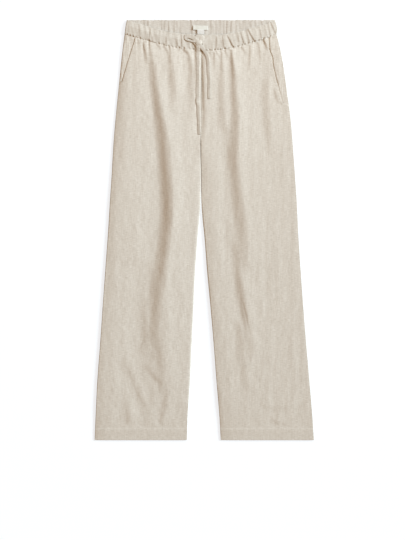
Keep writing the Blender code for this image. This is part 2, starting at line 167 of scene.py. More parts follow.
def nearestOnLine(line, x, down):
    best = np.full(x.shape, np.inf)
    offset = np.zeros(x.shape)
    spot = np.zeros(x.shape)
    for index in range(len(line) - 1):
        start, step = line[index, :2], line[index + 1, :2] - line[index, :2]
        fromX, fromDown = x - start[0], down - start[1]
        along = np.clip((fromX * step[0] + fromDown * step[1]) / (step @ step), 0.0, 1.0)
        awayX, awayDown = fromX - along * step[0], fromDown - along * step[1]
        away = np.hypot(awayX, awayDown)
        closer = away < best
        best = np.where(closer, away, best)
        side = np.where(awayX * step[1] - awayDown * step[0] < 0, -1.0, 1.0)
        offset = np.where(closer, away * side, offset)
        spot = np.where(closer, index + along, spot)
    return offset, spot


# Each fold or crease is a line of stations: x, down, half width, and its slope or depth.
def groove(offset, width):  # a narrow valley between two low shoulders
    return 0.42 * bell(offset, 2.4 * width) - bell(offset, width)


def flank(offset, width):  # climbs across the line, from a wide trough to a narrower ridge
    own = np.where(offset < 0, 1.2, 0.9) * width
    beyond = np.maximum(np.abs(offset) - 1.2 * width, 0.0)
    return (own * np.tanh(offset / own) + 0.3 * width) * np.exp(-beyond / (2.4 * width + 9.0))


# How far each profile is felt from its line: half widths, and mm more.
reaches = {flank: (8.0, 24.0), groove: (5.0, 0.0)}


def relief(x, down, folds, profile, endFade):  # endFade: share of each line over which its ends fade
    total = np.zeros(x.shape)
    widths, more = reaches[profile]
    for stations in folds.values():
        line = tracedLine(stations, 5 * len(stations))
        reach = widths * line[:, 2].max() + more
        close = (x > line[:, 0].min() - reach) & (x < line[:, 0].max() + reach)
        close &= (down > line[:, 1].min() - reach) & (down < line[:, 1].max() + reach)
        if not close.any():
            continue
        offset, spot = nearestOnLine(line, x[close], down[close])
        places = np.arange(len(line))
        width = np.interp(spot, places, line[:, 2])
        strength = np.interp(spot, places, line[:, 3])
        share = spot / (len(line) - 1)
        fade = ease(share / endFade) * ease((1 - share) / endFade)
        total[close] += strength * fade * profile(offset, width)
    return total


# Broad folds, whose dark flank the line follows, and narrow creases, on each front.
frontFlanks = {
    "left": {
        "main": (
            (-138, 58, 6, 0.06), (-135, 85, 6, 0.10), (-129, 121, 8, 0.16), (-125.5, 162, 9, 0.195),
            (-114.5, 235, 11, 0.20), (-107, 285, 13, 0.19), (-101, 335, 14, 0.195),
            (-98, 385, 14, 0.21), (-95, 435, 14, 0.23), (-95, 485, 14, 0.235), (-99, 535, 14, 0.22),
            (-104, 585, 14, 0.195), (-111, 635, 15, 0.145), (-120, 685, 15, 0.105),
            (-122, 735, 11, 0.10), (-125, 785, 10, 0.09), (-117, 835, 10, 0.05), (-108, 880, 8, 0.04),
            (-100, 935, 8, 0.03),
        ),
        "lowShade": (
            (-128, 590, 26, 0.015), (-126, 680, 28, 0.04), (-124, 760, 30, 0.055),
            (-122, 840, 30, 0.055), (-118, 900, 30, 0.045), (-112, 980, 30, 0.02),
        ),
        "besideMain": (
            (-148, 690, 6, 0.03), (-150, 735, 6, 0.06), (-148, 785, 8, 0.07), (-160, 838, 8, 0.04),
        ),
        "middle": ((-87, 85, 5, 0.07), (-83, 135, 8, 0.165), (-80, 185, 9, 0.115), (-80, 240, 9, 0.02)),
        "centre": (
            (-42, 86, 4, 0.11), (-34, 118, 6, 0.18), (-33, 160, 8, 0.14), (-32, 205, 8, 0.08),
            (-33, 265, 8, 0.02),
        ),
        "ankle": (
            (-205, 848, 7, 0.03), (-188, 880, 8, 0.06), (-177, 908, 8, 0.07), (-164, 939, 8, 0.065),
            (-152, 966, 8, 0.045), (-148, 992, 8, 0.03),
        ),
        "shin": (
            (-148, 862, 5, 0.06), (-130, 884, 6, 0.08), (-114, 903, 5, 0.11), (-103, 912, 4, 0.04),
        ),
        "inner": (
            (-90, 925, 6, 0.04), (-98, 962, 7, 0.06), (-105, 988, 6, 0.08), (-110, 1012, 5, 0.04),
        ),
        "low": ((-194, 950, 6, 0.03), (-193, 985, 7, 0.08), (-188, 1012, 6, 0.05)),
        "topOuter": (
            (-151, 56, 2.0, 0.20), (-151, 66, 2.4, 0.26), (-147, 86, 3.0, 0.20), (-144, 112, 4.0, 0.05),
        ),
        "topMain": ((-137.6, 54, 2.0, 0.26), (-136, 70, 2.6, 0.18), (-133, 92, 4.0, 0.08)),
        "dashA": ((-119, 59, 1.8, 0.24), (-113, 67, 2.2, 0.14), (-109, 78, 2.6, 0.03)),
        "topMiddle": (
            (-103, 62, 1.9, 0.20), (-97, 72, 2.6, 0.18), (-89, 87, 3.2, 0.12), (-85, 112, 4.0, 0.04),
        ),
        "topInner": ((-88, 66, 1.8, 0.28), (-86, 76, 2.2, 0.20), (-85, 92, 3.0, 0.06)),
        "dashB": ((-67, 69, 1.8, 0.26), (-61, 76, 2.2, 0.12), (-57, 86, 2.6, 0.02)),
        "diagonal": (
            (-55, 71, 2.0, 0.30), (-46, 79, 2.6, 0.28), (-38, 88, 3.2, 0.15), (-33, 104, 4.0, 0.04),
        ),
        "underTail": (
            (-23, 75, 2.0, 0.22), (-21.5, 92, 2.6, 0.26), (-22, 130, 3.0, 0.16),
            (-22.5, 172, 3.4, 0.04),
        ),
        "pocketTop": ((-166, 48, 1.8, 0.16), (-164, 58, 2.2, 0.10), (-163, 76, 2.8, 0.02)),
    },
    "right": {
        "main": (
            (66, 72, 4, 0.08), (68, 85, 5, 0.105), (71, 135, 7, 0.175), (73, 185, 8, 0.19),
            (77, 235, 9, 0.19), (76, 285, 10, 0.185), (73, 335, 12, 0.175), (76, 385, 11, 0.175),
            (81, 435, 12, 0.15), (87, 485, 13, 0.13), (94, 535, 13, 0.115), (96, 585, 12, 0.09),
            (104, 640, 11, 0.05),
        ),
        "mainLow": (
            (74, 550, 8, 0.04), (79, 600, 8, 0.09), (83, 635, 8, 0.13), (91, 685, 9, 0.14),
            (101, 735, 8, 0.145), (109, 780, 8, 0.08), (113, 820, 9, 0.06), (118, 862, 8, 0.02),
        ),
        "branch": (
            (46, 215, 8, 0.02), (50, 262, 8, 0.05), (54, 285, 8, 0.065), (58, 325, 8, 0.05),
            (60, 375, 7, 0.02),
        ),
        "branchLow": ((66, 500, 7, 0.02), (70, 550, 8, 0.05), (76, 600, 7, 0.02)),
        "kneeInner": (
            (80, 745, 6, 0.03), (86, 780, 7, 0.10), (88, 830, 8, 0.075), (93, 872, 9, 0.05),
            (110, 935, 9, 0.03),
        ),
        "middle": (
            (40, 98, 5, 0.05), (43, 135, 7, 0.09), (43, 185, 8, 0.12), (45, 235, 8, 0.10),
            (47, 285, 8, 0.04),
        ),
        "side": (
            (150, 140, 8, 0.03), (153, 185, 9, 0.085), (155, 235, 9, 0.07), (160, 285, 9, 0.07),
            (166, 340, 9, 0.02),
        ),
        "hemFold": ((140, 968, 4, 0.03), (170, 971, 4, 0.08), (205, 969, 4, 0.08), (248, 957, 4, 0.03)),
        "hemCurl": ((163, 994, 4, 0.04), (178, 1006, 5, 0.10), (202, 1006, 4, 0.05)),
        "topA": ((13, 81, 1.8, 0.18), (17, 90, 2.2, 0.10), (19, 100, 2.6, 0.02)),
        "topB": ((24.5, 80, 2.0, 0.28), (24.6, 96, 2.6, 0.18), (25, 126, 3.4, 0.04)),
        "topC": ((30, 79, 1.9, 0.22), (36, 90, 2.4, 0.14), (40, 102, 2.8, 0.02)),
        "topD": ((43.9, 78, 2.0, 0.24), (43.6, 98, 2.6, 0.16), (43, 130, 3.6, 0.05)),
        "topE": ((51, 76, 1.9, 0.26), (57, 88, 2.4, 0.12), (60, 98, 2.8, 0.02)),
        "topMain": (
            (66.5, 72, 2.2, 0.28), (67.5, 90, 2.8, 0.23), (70, 118, 4.0, 0.12), (73, 150, 5.0, 0.03),
        ),
        "topF": ((92, 67, 1.9, 0.24), (98.9, 76, 2.4, 0.14), (103, 88, 2.8, 0.02)),
        "topG": (
            (114, 60, 1.9, 0.20), (113.5, 80, 2.4, 0.20), (112.5, 104, 2.8, 0.14),
            (110.5, 134, 3.6, 0.03),
        ),
        "topH": ((134, 55, 2.0, 0.20), (137, 74, 2.6, 0.14), (141, 116, 3.6, 0.03)),
        "hipCrease": (
            (144, 44, 2.2, 0.36), (149, 53, 2.6, 0.38), (153.5, 63, 2.4, 0.30), (156, 76, 2.6, 0.08),
        ),
        "hipShort": ((163, 43, 1.9, 0.22), (167, 55, 2.2, 0.10), (169, 66, 2.6, 0.02)),
        "pocketSide": ((174, 168, 3.0, 0.05), (179, 190, 3.0, 0.12), (187, 212, 2.6, 0.05)),
        "besideSeam": (
            (-6.4, 82, 1.6, 0.08), (-6.0, 100, 2.0, 0.22), (-5.2, 130, 2.2, 0.24),
            (-4.4, 157, 2.4, 0.20), (-3.2, 185, 3.2, 0.12), (-2.6, 230, 4.0, 0.05),
        ),
    },
}
frontGrooves = {
    "left": {
        "vLine": ((-148, 782, 1.8, 0.15), (-154, 802, 2.0, 0.30), (-163, 826, 2.0, 0.10)),
        "ankleLine": (
            (-190, 884, 2.4, 0.10), (-178, 914, 2.8, 0.18), (-166, 940, 2.8, 0.15),
            (-155, 958, 2.4, 0.1),
        ),
        "ankleSide": ((-196, 905, 1.8, 0.08), (-186, 930, 2.2, 0.18), (-176, 952, 2.0, 0.10)),
        "lowLine": ((-266, 1000, 1.8, 0.1), (-244, 997, 2.2, 0.24), (-214, 1003, 2.0, 0.1)),
        "lowShort": ((-236, 968, 1.8, 0.1), (-222, 966, 2.0, 0.22), (-206, 972, 1.8, 0.1)),
        "arc": ((-206, 939, 2.0, 0.1), (-184, 944, 2.4, 0.30), (-160, 962, 2.4, 0.2)),
        "edgeLine": ((-257, 977, 2.2, 0.1), (-242, 982, 2.4, 0.3), (-228, 988, 2.2, 0.1)),
        "shinLine": ((-140, 884, 2.0, 0.15), (-124, 899, 2.4, 0.35), (-107, 908, 2.0, 0.15)),
        "small": ((-62, 903, 1.8, 0.1), (-57, 901, 2.0, 0.3), (-52, 899, 1.8, 0.1)),
        "hemPucker": ((-170, 1008, 2.0, 0.1), (-158, 1012, 2.4, 0.35), (-146, 1013, 2.0, 0.1)),
        "mouthPucker": ((-193, 69, 1.6, 0.1), (-187, 62, 2.0, 0.3), (-180, 56.5, 1.8, 0.3)),
    },
    "right": {
        "kneeLine": ((96, 705, 2.2, 0.15), (104, 743, 2.4, 0.35), (112, 781, 2.0, 0.1)),
        "hemLine": ((143, 969, 1.8, 0.1), (170, 971.5, 2.2, 0.3), (215, 968, 1.8, 0.1)),
        "hemLow": ((165, 996, 2.0, 0.1), (180, 1008, 2.4, 0.35), (200, 1008, 2.0, 0.1)),
    },
}
# Pits between the stitches of the band seam: x and depth, and how far each reaches.
seamPits = (
    (-193, 0.8), (-186, 0.9), (-178.6, 1.0), (-171.4, 1.0), (-160.6, 1.5), (-147.6, 0.8), (-142.6, 1.0),
    (-137.6, 1.9), (-114.4, 1.3), (-107, 0.5), (-101.9, 1.1), (-89.4, 1.4), (-81, 0.6), (-72, 0.7),
    (-63.1, 2.0), (-50.9, 2.0), (-38, 0.8), (-28, 0.9), (3, 1.1), (13, 1.1), (25.6, 1.8), (33, 1.2),
    (39.4, 1.1), (51, 2.0), (60, 0.6), (72, 2.0), (83, 1.2), (94, 1.2), (100.6, 0.9), (108.9, 0.9),
    (119.4, 1.1), (125.6, 1.7), (135.6, 1.0), (148, 2.2), (158, 1.0), (163.6, 1.2), (172, 0.8),
)
pitForm = {"left": 2.6, "right": 1.8, "above": 2.4, "below": 2.5, "lossBelow": 0.65}
# A pair says from how far down something changes, and over what length.
frontForm = {
    "height": 4.95,
    "crown": (2.6, 1.4),  # mm that the shaded edge lies lower, at the hips and below the knees
    "crownChange": (250.0, 250.0),
    "crownAtWaist": 0.45,  # share of it under the band
    "crownStart": (60.0, 120.0),
    "edgeSoftness": 13.0,
    "reliefStart": 2.0,  # mm in from an edge
    "legsPart": (garment["crotchDown"], 60.0),
    "centreGroove": 1.4,
    "centreGrooveWidth": {"left": 18.0, "right": 7.0},
    "centreGrooveEnd": (250.0, 80.0),
    "hemFlattening": 1.4,
    "hemFlatStart": (950.0, 90.0),
    "lowest": 2.1,
    "steepness": 1.08,
    "gathers": ((0.14, 13.0, 260.0), (0.112, 26.0, 500.0)),
    "gatherReach": 42.0,
    "crumples": ((0.11, 46.0, 90.0), (0.05, 14.0, 30.0), (0.10, 70.0, 520.0)),
    "crumpleStart": 60.0,  # mm below the band's seam
    "hemCalm": 0.75,
    "hemCalmStart": (1012.0, 8.0),
    "hemDepth": 29.0,
    "hemStep": 0.5,
    "hemStepLength": 2.2,
    "hemFall": 0.8,
    "hemThread": {"past": 1.6, "width": 0.9, "depth": 0.2},  # the line that the hem's stitches press in
    "seamStep": 0.35,  # mm that the leg lies below the band that is sewn to it
    "seamStepReach": 22.0,
    "seeds": {"left": 11, "right": 23},
}


def pitDepth(x, down):  # steep on the right; deep above the seam and slight below it
    total = np.zeros(np.broadcast(x, down).shape)
    below = down - seamDown(x)
    along = bell(below, np.where(below > 0, pitForm["below"], pitForm["above"]))
    along = along * (1 - pitForm["lossBelow"] * easeFrom(below, -0.4, 0.4))
    for place, depth in seamPits:
        beside = (x - place) / np.where(x > place, pitForm["right"], pitForm["left"])
        total += depth * along * np.exp(-(beside**4))
    return total


def frontHeight(side, x, down):  # the front leg's upper surface, before its edges are turned
    form = frontForm
    outer = np.abs(x - outlineX("outer", side, down))
    inner = np.abs(x - outlineX("inner", side, down))
    opened = easeFrom(down, *form["legsPart"])
    shaded = np.exp(-(outer if side == "left" else inner) / form["edgeSoftness"])
    if side == "right":
        shaded = shaded * opened
    atHips, belowKnees = form["crown"]
    crown = atHips + (belowKnees - atHips) * easeFrom(down, *form["crownChange"])
    atWaist = form["crownAtWaist"]
    crown = crown * (atWaist + (1 - atWaist) * easeFrom(down, *form["crownStart"]))
    start = form["reliefStart"]
    rise = (1 - np.exp(-outer / start)) * (1 - opened * np.exp(-inner / start))
    joined = 1 - easeFrom(down, *form["centreGrooveEnd"])
    dip = form["centreGroove"] * joined * bell(inner, form["centreGrooveWidth"][side])
    flat = form["hemFlattening"] * easeFrom(down, *form["hemFlatStart"])
    below = np.maximum(down - seamDown(x), 0.0)
    detail = form["steepness"] * relief(x, down, frontFlanks[side], flank, 0.06)
    detail += relief(x, down, frontGrooves[side], groove, 0.05)
    seed = form["seeds"][side]
    detail += unevenness(x, down, form["gathers"], seed) * np.exp(-below / form["gatherReach"])
    crumples = unevenness(x, down, form["crumples"], seed + len(form["gathers"]))
    detail += crumples * ease(below / form["crumpleStart"])
    detail *= 1 - form["hemCalm"] * easeFrom(down, *form["hemCalmStart"])
    height = form["height"] - flat - crown * shaded + detail * rise - dip
    past = down - (garment["outseam"] - form["hemDepth"])
    height += form["hemStep"] * easeFrom(past, -1.0, form["hemStepLength"])
    height -= form["hemFall"] * ease(past / form["hemDepth"])
    thread = form["hemThread"]
    height -= thread["depth"] * bell(past - thread["past"], thread["width"])
    height -= form["seamStep"] * np.exp(-below / form["seamStepReach"])
    return np.maximum(height - pitDepth(x, down), form["lowest"])


def legHeight(x, down):  # the same for whichever leg is there
    legs = [frontHeight(side, x, down) for side in ("left", "right")]
    return np.where(x < garment["centreSeamX"], *legs)


def pocketCut(side, down):  # how far the pocket's line lies inside the side seam
    inside = readCurve(pocketLine[side], down) - outlineX("outer", side, down)
    return inside * openPocket(side, down)


def openPocket(side, down):  # 1 beside a pocket's mouth and 0 past its end
    return 1 - easeFrom(down, pocketLine[side][-1][0], garment["pocketClose"])


def layCloth(name, x, down, height, under, shift=0.0):  # shift: mm along the linen that it is cut from
    weave = np.stack([x + shift, garment["outseam"] - down], -1) * mm
    return shellMesh(name, toWorld(x, down, height), toWorld(x, down, under), weave)


def shellMesh(name, face, back, weave):
    rows, columns = face.shape[:2]
    count = rows * columns
    index = np.arange(count).reshape(rows, columns)
    over = np.stack([index[:-1, :-1], index[1:, :-1], index[1:, 1:], index[:-1, 1:]], -1).reshape(-1, 4)
    under = over[:, ::-1] + count
    border = np.concatenate([index[0, :-1], index[:-1, -1], index[-1, :0:-1], index[:0:-1, 0]])
    after = np.roll(border, -1)
    rim = np.stack([after, after + count, border + count, border], -1)
    points = np.concatenate([face.reshape(-1, 3), back.reshape(-1, 3)])
    flatPlaces = np.concatenate([weave.reshape(-1, 2)] * 2)
    return meshPiece(name, points, np.concatenate([over, under, rim]), flatPlaces)


def tubeFaces(rings, around, tubes=1):  # the walls between rings of points, and a cap at each end
    index = np.arange(tubes * rings * around).reshape(tubes, rings, around)
    ahead = np.roll(index, -1, axis=2)
    walls = np.stack([index[:, :-1], ahead[:, :-1], ahead[:, 1:], index[:, 1:]], -1).reshape(-1, 4)
    return walls.tolist() + index[:, 0, ::-1].tolist() + index[:, -1].tolist()


def meshPiece(name, points, faces, weave):
    mesh = bpy.data.meshes.new(name)
    mesh.from_pydata(points.tolist(), [], [list(face) for face in faces])
    layer = mesh.uv_layers.new(name="clothUv")
    corners = np.empty(len(mesh.loops), np.int32)
    mesh.loops.foreach_get("vertex_index", corners)
    layer.data.foreach_set("uv", weave[corners].astype(np.float32).ravel())
    mesh.shade_smooth()
    piece = bpy.data.objects.new(name, mesh)
    bpy.context.scene.collection.objects.link(piece)
    return piece


def finishPiece(piece, material, slot, *nodes):
    piece.data.materials.append(material)
    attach(piece, "root")
    if nodes:
        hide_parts(*nodes)
    return piece


# Materials. Cloth coordinates are the flat cut's own, in metres.
def newTree(name):
    material = bpy.data.materials.new(name)
    material.use_nodes = True
    tree = material.node_tree
    return material, tree, tree.nodes["Principled BSDF"]


def placeNode(tree, kind, **settings):
    node = tree.nodes.new(kind)
    for key, value in settings.items():
        setattr(node, key, value)
    return node


def mathNode(tree, operation, first, second=0.0):
    node = placeNode(tree, "ShaderNodeMath", operation=operation)
    for socket, value in zip(node.inputs, (first, second)):
        if isinstance(value, (int, float)):
            socket.default_value = value
        else:
            tree.links.new(value, socket)
    return node.outputs[0]


def streakNoise(tree, place, across, along, detail):
    spread = placeNode(tree, "ShaderNodeVectorMath", operation="MULTIPLY")
    spread.inputs[1].default_value = (1 / across, 1 / along, 1.0)
    tree.links.new(place, spread.inputs[0])
    noise = placeNode(tree, "ShaderNodeTexNoise")
    noise.inputs["Scale"].default_value = 1.0
    noise.inputs["Detail"].default_value = detail
    tree.links.new(spread.outputs[0], noise.inputs["Vector"])
    return noise.outputs["Fac"]


# Uneven yarns, fine and wide: metres across and along the noise, and its detail.
yarns = {
    "warp": (0.0013, 0.016, 2.0), "weft": (0.009, 0.0013, 2.0),
    "warpWide": (0.0040, 0.045, 3.0), "weftWide": (0.012, 0.0050, 3.0),
}
weaveForm = {
    "weftMore": 0.6,  # share by which the weft shows more than the warp
    "wideShare": 0.5,
    "usualSum": 1.80,  # of all that noise, where the tone is half way
    "bend": 3.0,  # radians that the threads wander
    "crossings": 0.12,  # in the bump, beside the slubs
    "slubs": 0.7,
}


def makeWeaveGroup():
    group = bpy.data.node_groups.new("plainWeave", "ShaderNodeTree")
    group.interface.new_socket("Place", in_out="INPUT", socket_type="NodeSocketVector")
    threads = group.interface.new_socket("Thread", in_out="INPUT", socket_type="NodeSocketFloat")
    threads.default_value = 0.00055
    slubs = group.interface.new_socket("Slub", in_out="INPUT", socket_type="NodeSocketFloat")
    slubs.default_value = 1.0
    group.interface.new_socket("Tone", in_out="OUTPUT", socket_type="NodeSocketFloat")
    group.interface.new_socket("Height", in_out="OUTPUT", socket_type="NodeSocketFloat")
    start = placeNode(group, "NodeGroupInput")
    end = placeNode(group, "NodeGroupOutput")
    place = start.outputs["Place"]
    parts = placeNode(group, "ShaderNodeSeparateXYZ")
    group.links.new(place, parts.inputs[0])
    warp, weft, warpWide, weftWide = (streakNoise(group, place, *yarn) for yarn in yarns.values())
    fine = mathNode(group, "ADD", warp, weft)
    bothWide = mathNode(group, "ADD", warpWide, weftWide)
    wide = mathNode(group, "MULTIPLY", bothWide, weaveForm["wideShare"])
    heavier = mathNode(group, "ADD", fine, mathNode(group, "MULTIPLY", weft, weaveForm["weftMore"]))
    uneven = mathNode(group, "SUBTRACT", mathNode(group, "ADD", heavier, wide), weaveForm["usualSum"])
    tone = mathNode(group, "MULTIPLY", uneven, start.outputs["Slub"])
    group.links.new(mathNode(group, "ADD", tone, 0.5), end.inputs["Tone"])
    waves = []
    for axis, slub in ((parts.outputs[0], weft), (parts.outputs[1], warp)):
        turns = mathNode(group, "DIVIDE", axis, start.outputs["Thread"])
        straight = mathNode(group, "MULTIPLY", turns, math.pi)
        bend = mathNode(group, "MULTIPLY", slub, weaveForm["bend"])
        waves.append(mathNode(group, "SINE", mathNode(group, "ADD", straight, bend)))
    crossed = mathNode(group, "MULTIPLY", mathNode(group, "MULTIPLY", *waves), weaveForm["crossings"])
    raised = mathNode(group, "ADD", crossed, mathNode(group, "MULTIPLY", fine, weaveForm["slubs"]))
    group.links.new(raised, end.inputs["Height"])
    return group


weaveGroup = makeWeaveGroup()


def makeCloth(name, recipe):
    material, tree, shader = newTree(name)
    uv = placeNode(tree, "ShaderNodeUVMap", uv_map="clothUv")
    weave = placeNode(tree, "ShaderNodeGroup", node_tree=weaveGroup)
    weave.inputs["Thread"].default_value = recipe["thread"]
    weave.inputs["Slub"].default_value = recipe["slub"]
    tree.links.new(uv.outputs[0], weave.inputs["Place"])
    ramp = placeNode(tree, "ShaderNodeMix", data_type="RGBA")
    ramp.inputs[6].default_value = (*recipe["dark"], 1.0)
    ramp.inputs[7].default_value = (*recipe["light"], 1.0)
    tree.links.new(weave.outputs["Tone"], ramp.inputs[0])
    tree.links.new(ramp.outputs[2], shader.inputs["Base Color"])
    bump = placeNode(tree, "ShaderNodeBump")
    bump.inputs["Strength"].default_value = recipe["bump"]
    bump.inputs["Distance"].default_value = recipe["bumpDepth"]
    tree.links.new(weave.outputs["Height"], bump.inputs["Height"])
    tree.links.new(bump.outputs[0], shader.inputs["Normal"])
    rough = mathNode(tree, "MULTIPLY_ADD", weave.outputs["Tone"], recipe["roughSwing"])
    rough.node.inputs[2].default_value = recipe["roughness"]
    tree.links.new(rough, shader.inputs["Roughness"])
    shader.inputs["Specular IOR Level"].default_value = recipe["specular"]
    shader.inputs["Sheen Weight"].default_value = recipe["sheen"]
    shader.inputs["Sheen Roughness"].default_value = 0.6
    return material


linen = {
    "thread": 0.00055, "slub": 0.92, "dark": (0.510, 0.456, 0.385), "light": (0.695, 0.640, 0.564),
    "bump": 0.35, "bumpDepth": 0.0003, "roughness": 0.92, "roughSwing": -0.06,
    "specular": 0.12, "sheen": 0.08,
}
# A darker copy of the linen for the front waistband: painted shade of its gathers and creases.
gatherShade = {"dark": (0.474, 0.424, 0.358), "light": (0.646, 0.595, 0.524)}
# A darker copy of the linen for the back legs and back waistband, in part painted shade of the back
# band's gathers.
inside = {"dark": (0.465, 0.415, 0.353), "light": (0.634, 0.582, 0.516)}
# The drawstring's doubled linen, darker than the cloth as painted shade on the tape, knot and loops.
doubledAndShaded = {"dark": (0.480, 0.429, 0.362), "light": (0.654, 0.602, 0.530)}
twisted = {"thread": 0.0002, "dark": (0.50, 0.45, 0.38), "light": (0.62, 0.57, 0.49)}
satin = {
    "thread": 0.0003, "slub": 0.12, "dark": (0.61, 0.595, 0.535), "light": (0.69, 0.67, 0.60),
    "bump": 0.15, "bumpDepth": 0.0001, "roughness": 0.45, "roughSwing": -0.05,
    "specular": 0.35, "sheen": 0.0,
}
cotton = {
    "slub": 0.10, "dark": (0.67, 0.65, 0.61), "light": (0.73, 0.71, 0.67),
    "roughness": 0.8, "specular": 0.2,
}
linenCloth = makeCloth("linenCloth", linen)
# The front waistband's linen, darkened by painted shade of its gathers.
linenGatherShade = makeCloth("linenGatherShade", {**linen, **gatherShade})
# The back pieces' linen, darkened in part by painted shade of the back band's gathers.
linenInsideShaded = makeCloth("linenInsideShaded", {**linen, **inside})
# The tape's linen, darkened by painted shade.
shadedTapeCloth = makeCloth("tapeLinenShaded", {**linen, **doubledAndShaded})
labelSatin = makeCloth("labelSatin", satin)
labelCotton = makeCloth("labelCotton", {**satin, **cotton})
sewingThread = makeCloth("sewingThread", {**linen, **twisted})
print("cloth materials made")

# Front leg panels
panelGrid = {
    "columns": 142,
    "rowPitches": ((90.0, 1.6), (250.0, 2.7), (-36.0, 4.3), (-3.6, 1.5)),  # until, and mm a row
    "sideMargin": (0.0, 0.08, 0.22, 0.5, 0.9, 1.5, 2.4),
    "topMargin": (0.0, 0.06, 0.4, 0.9, 1.5, 2.3, 3.2),
    "hemMargin": (3.0, 2.0, 1.3, 0.8, 0.4, 0.15, 0.0),
    "bandDip": 300.0,  # mm below the band over which the rows straighten
}
# How the long edges are turned down: the radius in mm, by how far down it is.
edgeTurns = {
    "left": {
        "outer": ((0, 1.5), (880, 1.5), (1000, 1.0), (1050, 0.9)),
        "inner": ((0, 0.06), (440, 0.06), (500, 0.3), (1050, 0.3)),
    },
    "right": {
        "outer": ((0, 0.3), (1050, 0.3)),
        "inner": ((0, 2.8), (600, 2.6), (880, 1.2), (1050, 0.9)),
    },
}
# The same along a pocket's mouth, and along the centre seam until the legs part: from how far
# down, and over what length.
mouthTurns = {"left": {"radius": 1.0, "drop": 0.7}, "right": {"radius": 0.2, "drop": 0.15}}
centreTurns = {
    "left": {"radius": 0.06, "drop": 0.0, "parts": (425.0, 24.0)},
    "right": {"radius": 1.0, "drop": 0.4, "parts": (286.0, 24.0)},
}
hemTurn = {"radius": 1.0, "drop": 0.9, "extraWall": 0.5, "wallStep": 1.5}


def rowStops():
    grid = panelGrid
    length = garment["outseam"] - garment["bandDepth"]
    stops = list(grid["topMargin"])
    for until, pitch in grid["rowPitches"]:
        until = until % length  # a negative one counts up from the hem
        count = round((until - stops[-1]) / pitch)
        stops += list(np.linspace(stops[-1], until, count + 1)[1:])
    stops += [length - margin for margin in grid["hemMargin"]]
    return np.array(stops)


def panelPlaces(side):  # x and down of each point of a front panel, columns from -x to +x
    grid = panelGrid
    rows = rowStops()[:, None]
    margins = np.array(grid["sideMargin"])
    shares = np.linspace(0.0, 1.0, grid["columns"] + 2)[None, 1:-1]
    sign = 1.0 if side == "left" else -1.0
    fade = np.maximum(1 - rows / grid["bandDip"], 0.0) ** 2
    down = garment["bandDepth"] + rows
    for _ in range(4):  # a column's x depends on its down, and the other way round
        outer = outlineX("outer", side, down[:, :1])
        inner = outlineX("inner", side, down[:, -1:])
        cut = pocketCut(side, down[:, :1])
        lowEdge = outer + cut + sign * margins
        highEdge = inner - sign * margins[::-1]
        base = outer + sign * margins[-1]
        middle = base + (highEdge[:, :1] - base) * shares + cut * (1 - shares) ** 4
        x = np.concatenate([lowEdge, middle, highEdge], 1)
        down = garment["bandDepth"] + rows + (seamDown(x) - garment["bandDepth"]) * fade
    if side == "right":
        x, down = x[:, ::-1], down[:, ::-1]
    return x, down


def edgeDistances(side, x, down):
    outer = np.abs(x[:, :1] - x) if side == "left" else np.abs(x[:, -1:] - x)
    inner = np.abs(x[:, -1:] - x) if side == "left" else np.abs(x[:, :1] - x)
    return outer, inner


def buildFront(side):
    x, down = panelPlaces(side)
    height = frontHeight(side, x, down)
    outer, inner = edgeDistances(side, x, down)
    mouth, centre, seamHeight = mouthTurns[side], centreTurns[side], garment["seamHeight"]
    mouthSide = openPocket(side, down)
    outerRadius = readCurve(edgeTurns[side]["outer"], down)
    outerRadius = outerRadius + (mouth["radius"] - outerRadius) * mouthSide
    outerEdge = seamHeight + (height - mouth["drop"] - seamHeight) * mouthSide
    height = outerEdge + (height - outerEdge) * rollOff(outer / outerRadius)
    parted = easeFrom(down, *centre["parts"])
    innerRadius = readCurve(edgeTurns[side]["inner"], down)
    innerRadius = centre["radius"] + (innerRadius - centre["radius"]) * parted
    centreEdge = height - centre["drop"]
    innerEdge = centreEdge + (seamHeight - centreEdge) * parted
    height = innerEdge + (height - innerEdge) * rollOff(inner / innerRadius)
    height = height - hemTurn["drop"] * (1 - rollOff((garment["outseam"] - down) / hemTurn["radius"]))
    height = np.maximum(height, seamHeight)
    under = np.maximum(height - garment["clothWall"], garment["undersideFloor"])
    turnedUp = easeFrom(down, garment["outseam"] - frontForm["hemDepth"], hemTurn["wallStep"])
    under = np.maximum(under - hemTurn["extraWall"] * turnedUp, garment["undersideFloor"])
    piece = layCloth("frontLeg" + side.title(), x, down, height, under)
    return finishPiece(piece, linenCloth, "linen", "front_" + side)


fronts = {side: buildFront(side) for side in ("left", "right")}
print("front legs built")


# Back leg panels, which lie flat on the table
backForm = {
    "topRows": (0.0, 0.3, 0.8, 1.5, 2.5, 4.0, 5.5, 7.0, 8.5, 10.0, 12.0, 15.0, 20.0),
    "legRows": 100,
    "legMargin": (30.0, 31.0),  # mm from the top and from the hem to where the leg's rows begin
    "hemRows": (30.0, 28.0, 20.0, 12.0, 6.0, 2.0, 1.0, 0.4, 0.0),
    "sideMargin": (0.0, 0.12, 0.3, 0.6, 1.0),
    "columns": 60,
    "sag": 2.4,  # mm that its seam to the band sags to the middle, and half the width of that
    "sagWidth": 60.0,
    "sagReach": 60.0,  # mm below the band over which the rows straighten
    "middle": 5.0,
    "puff": {"height": 1.25, "width": 75.0, "below": 1.5, "depth": 6.0, "limit": 1.35},
    "gathers": {"least": 0.75, "swing": 0.35, "across": 9.0, "along": 200.0},  # of the puff
    "hemDepth": 30.0,
    "hemRise": 0.25,
    "hemStep": 2.0,
    "edgeHeight": 0.45,
    "edgeRadius": 0.9,
    "underRise": 0.25,
    "underRadius": 0.6,
}


def backSeamDown(x):  # sags to the middle, where the front's waist lies lowest
    return garment["bandDepth"] + backForm["sag"] * bell(x - backForm["middle"], backForm["sagWidth"])


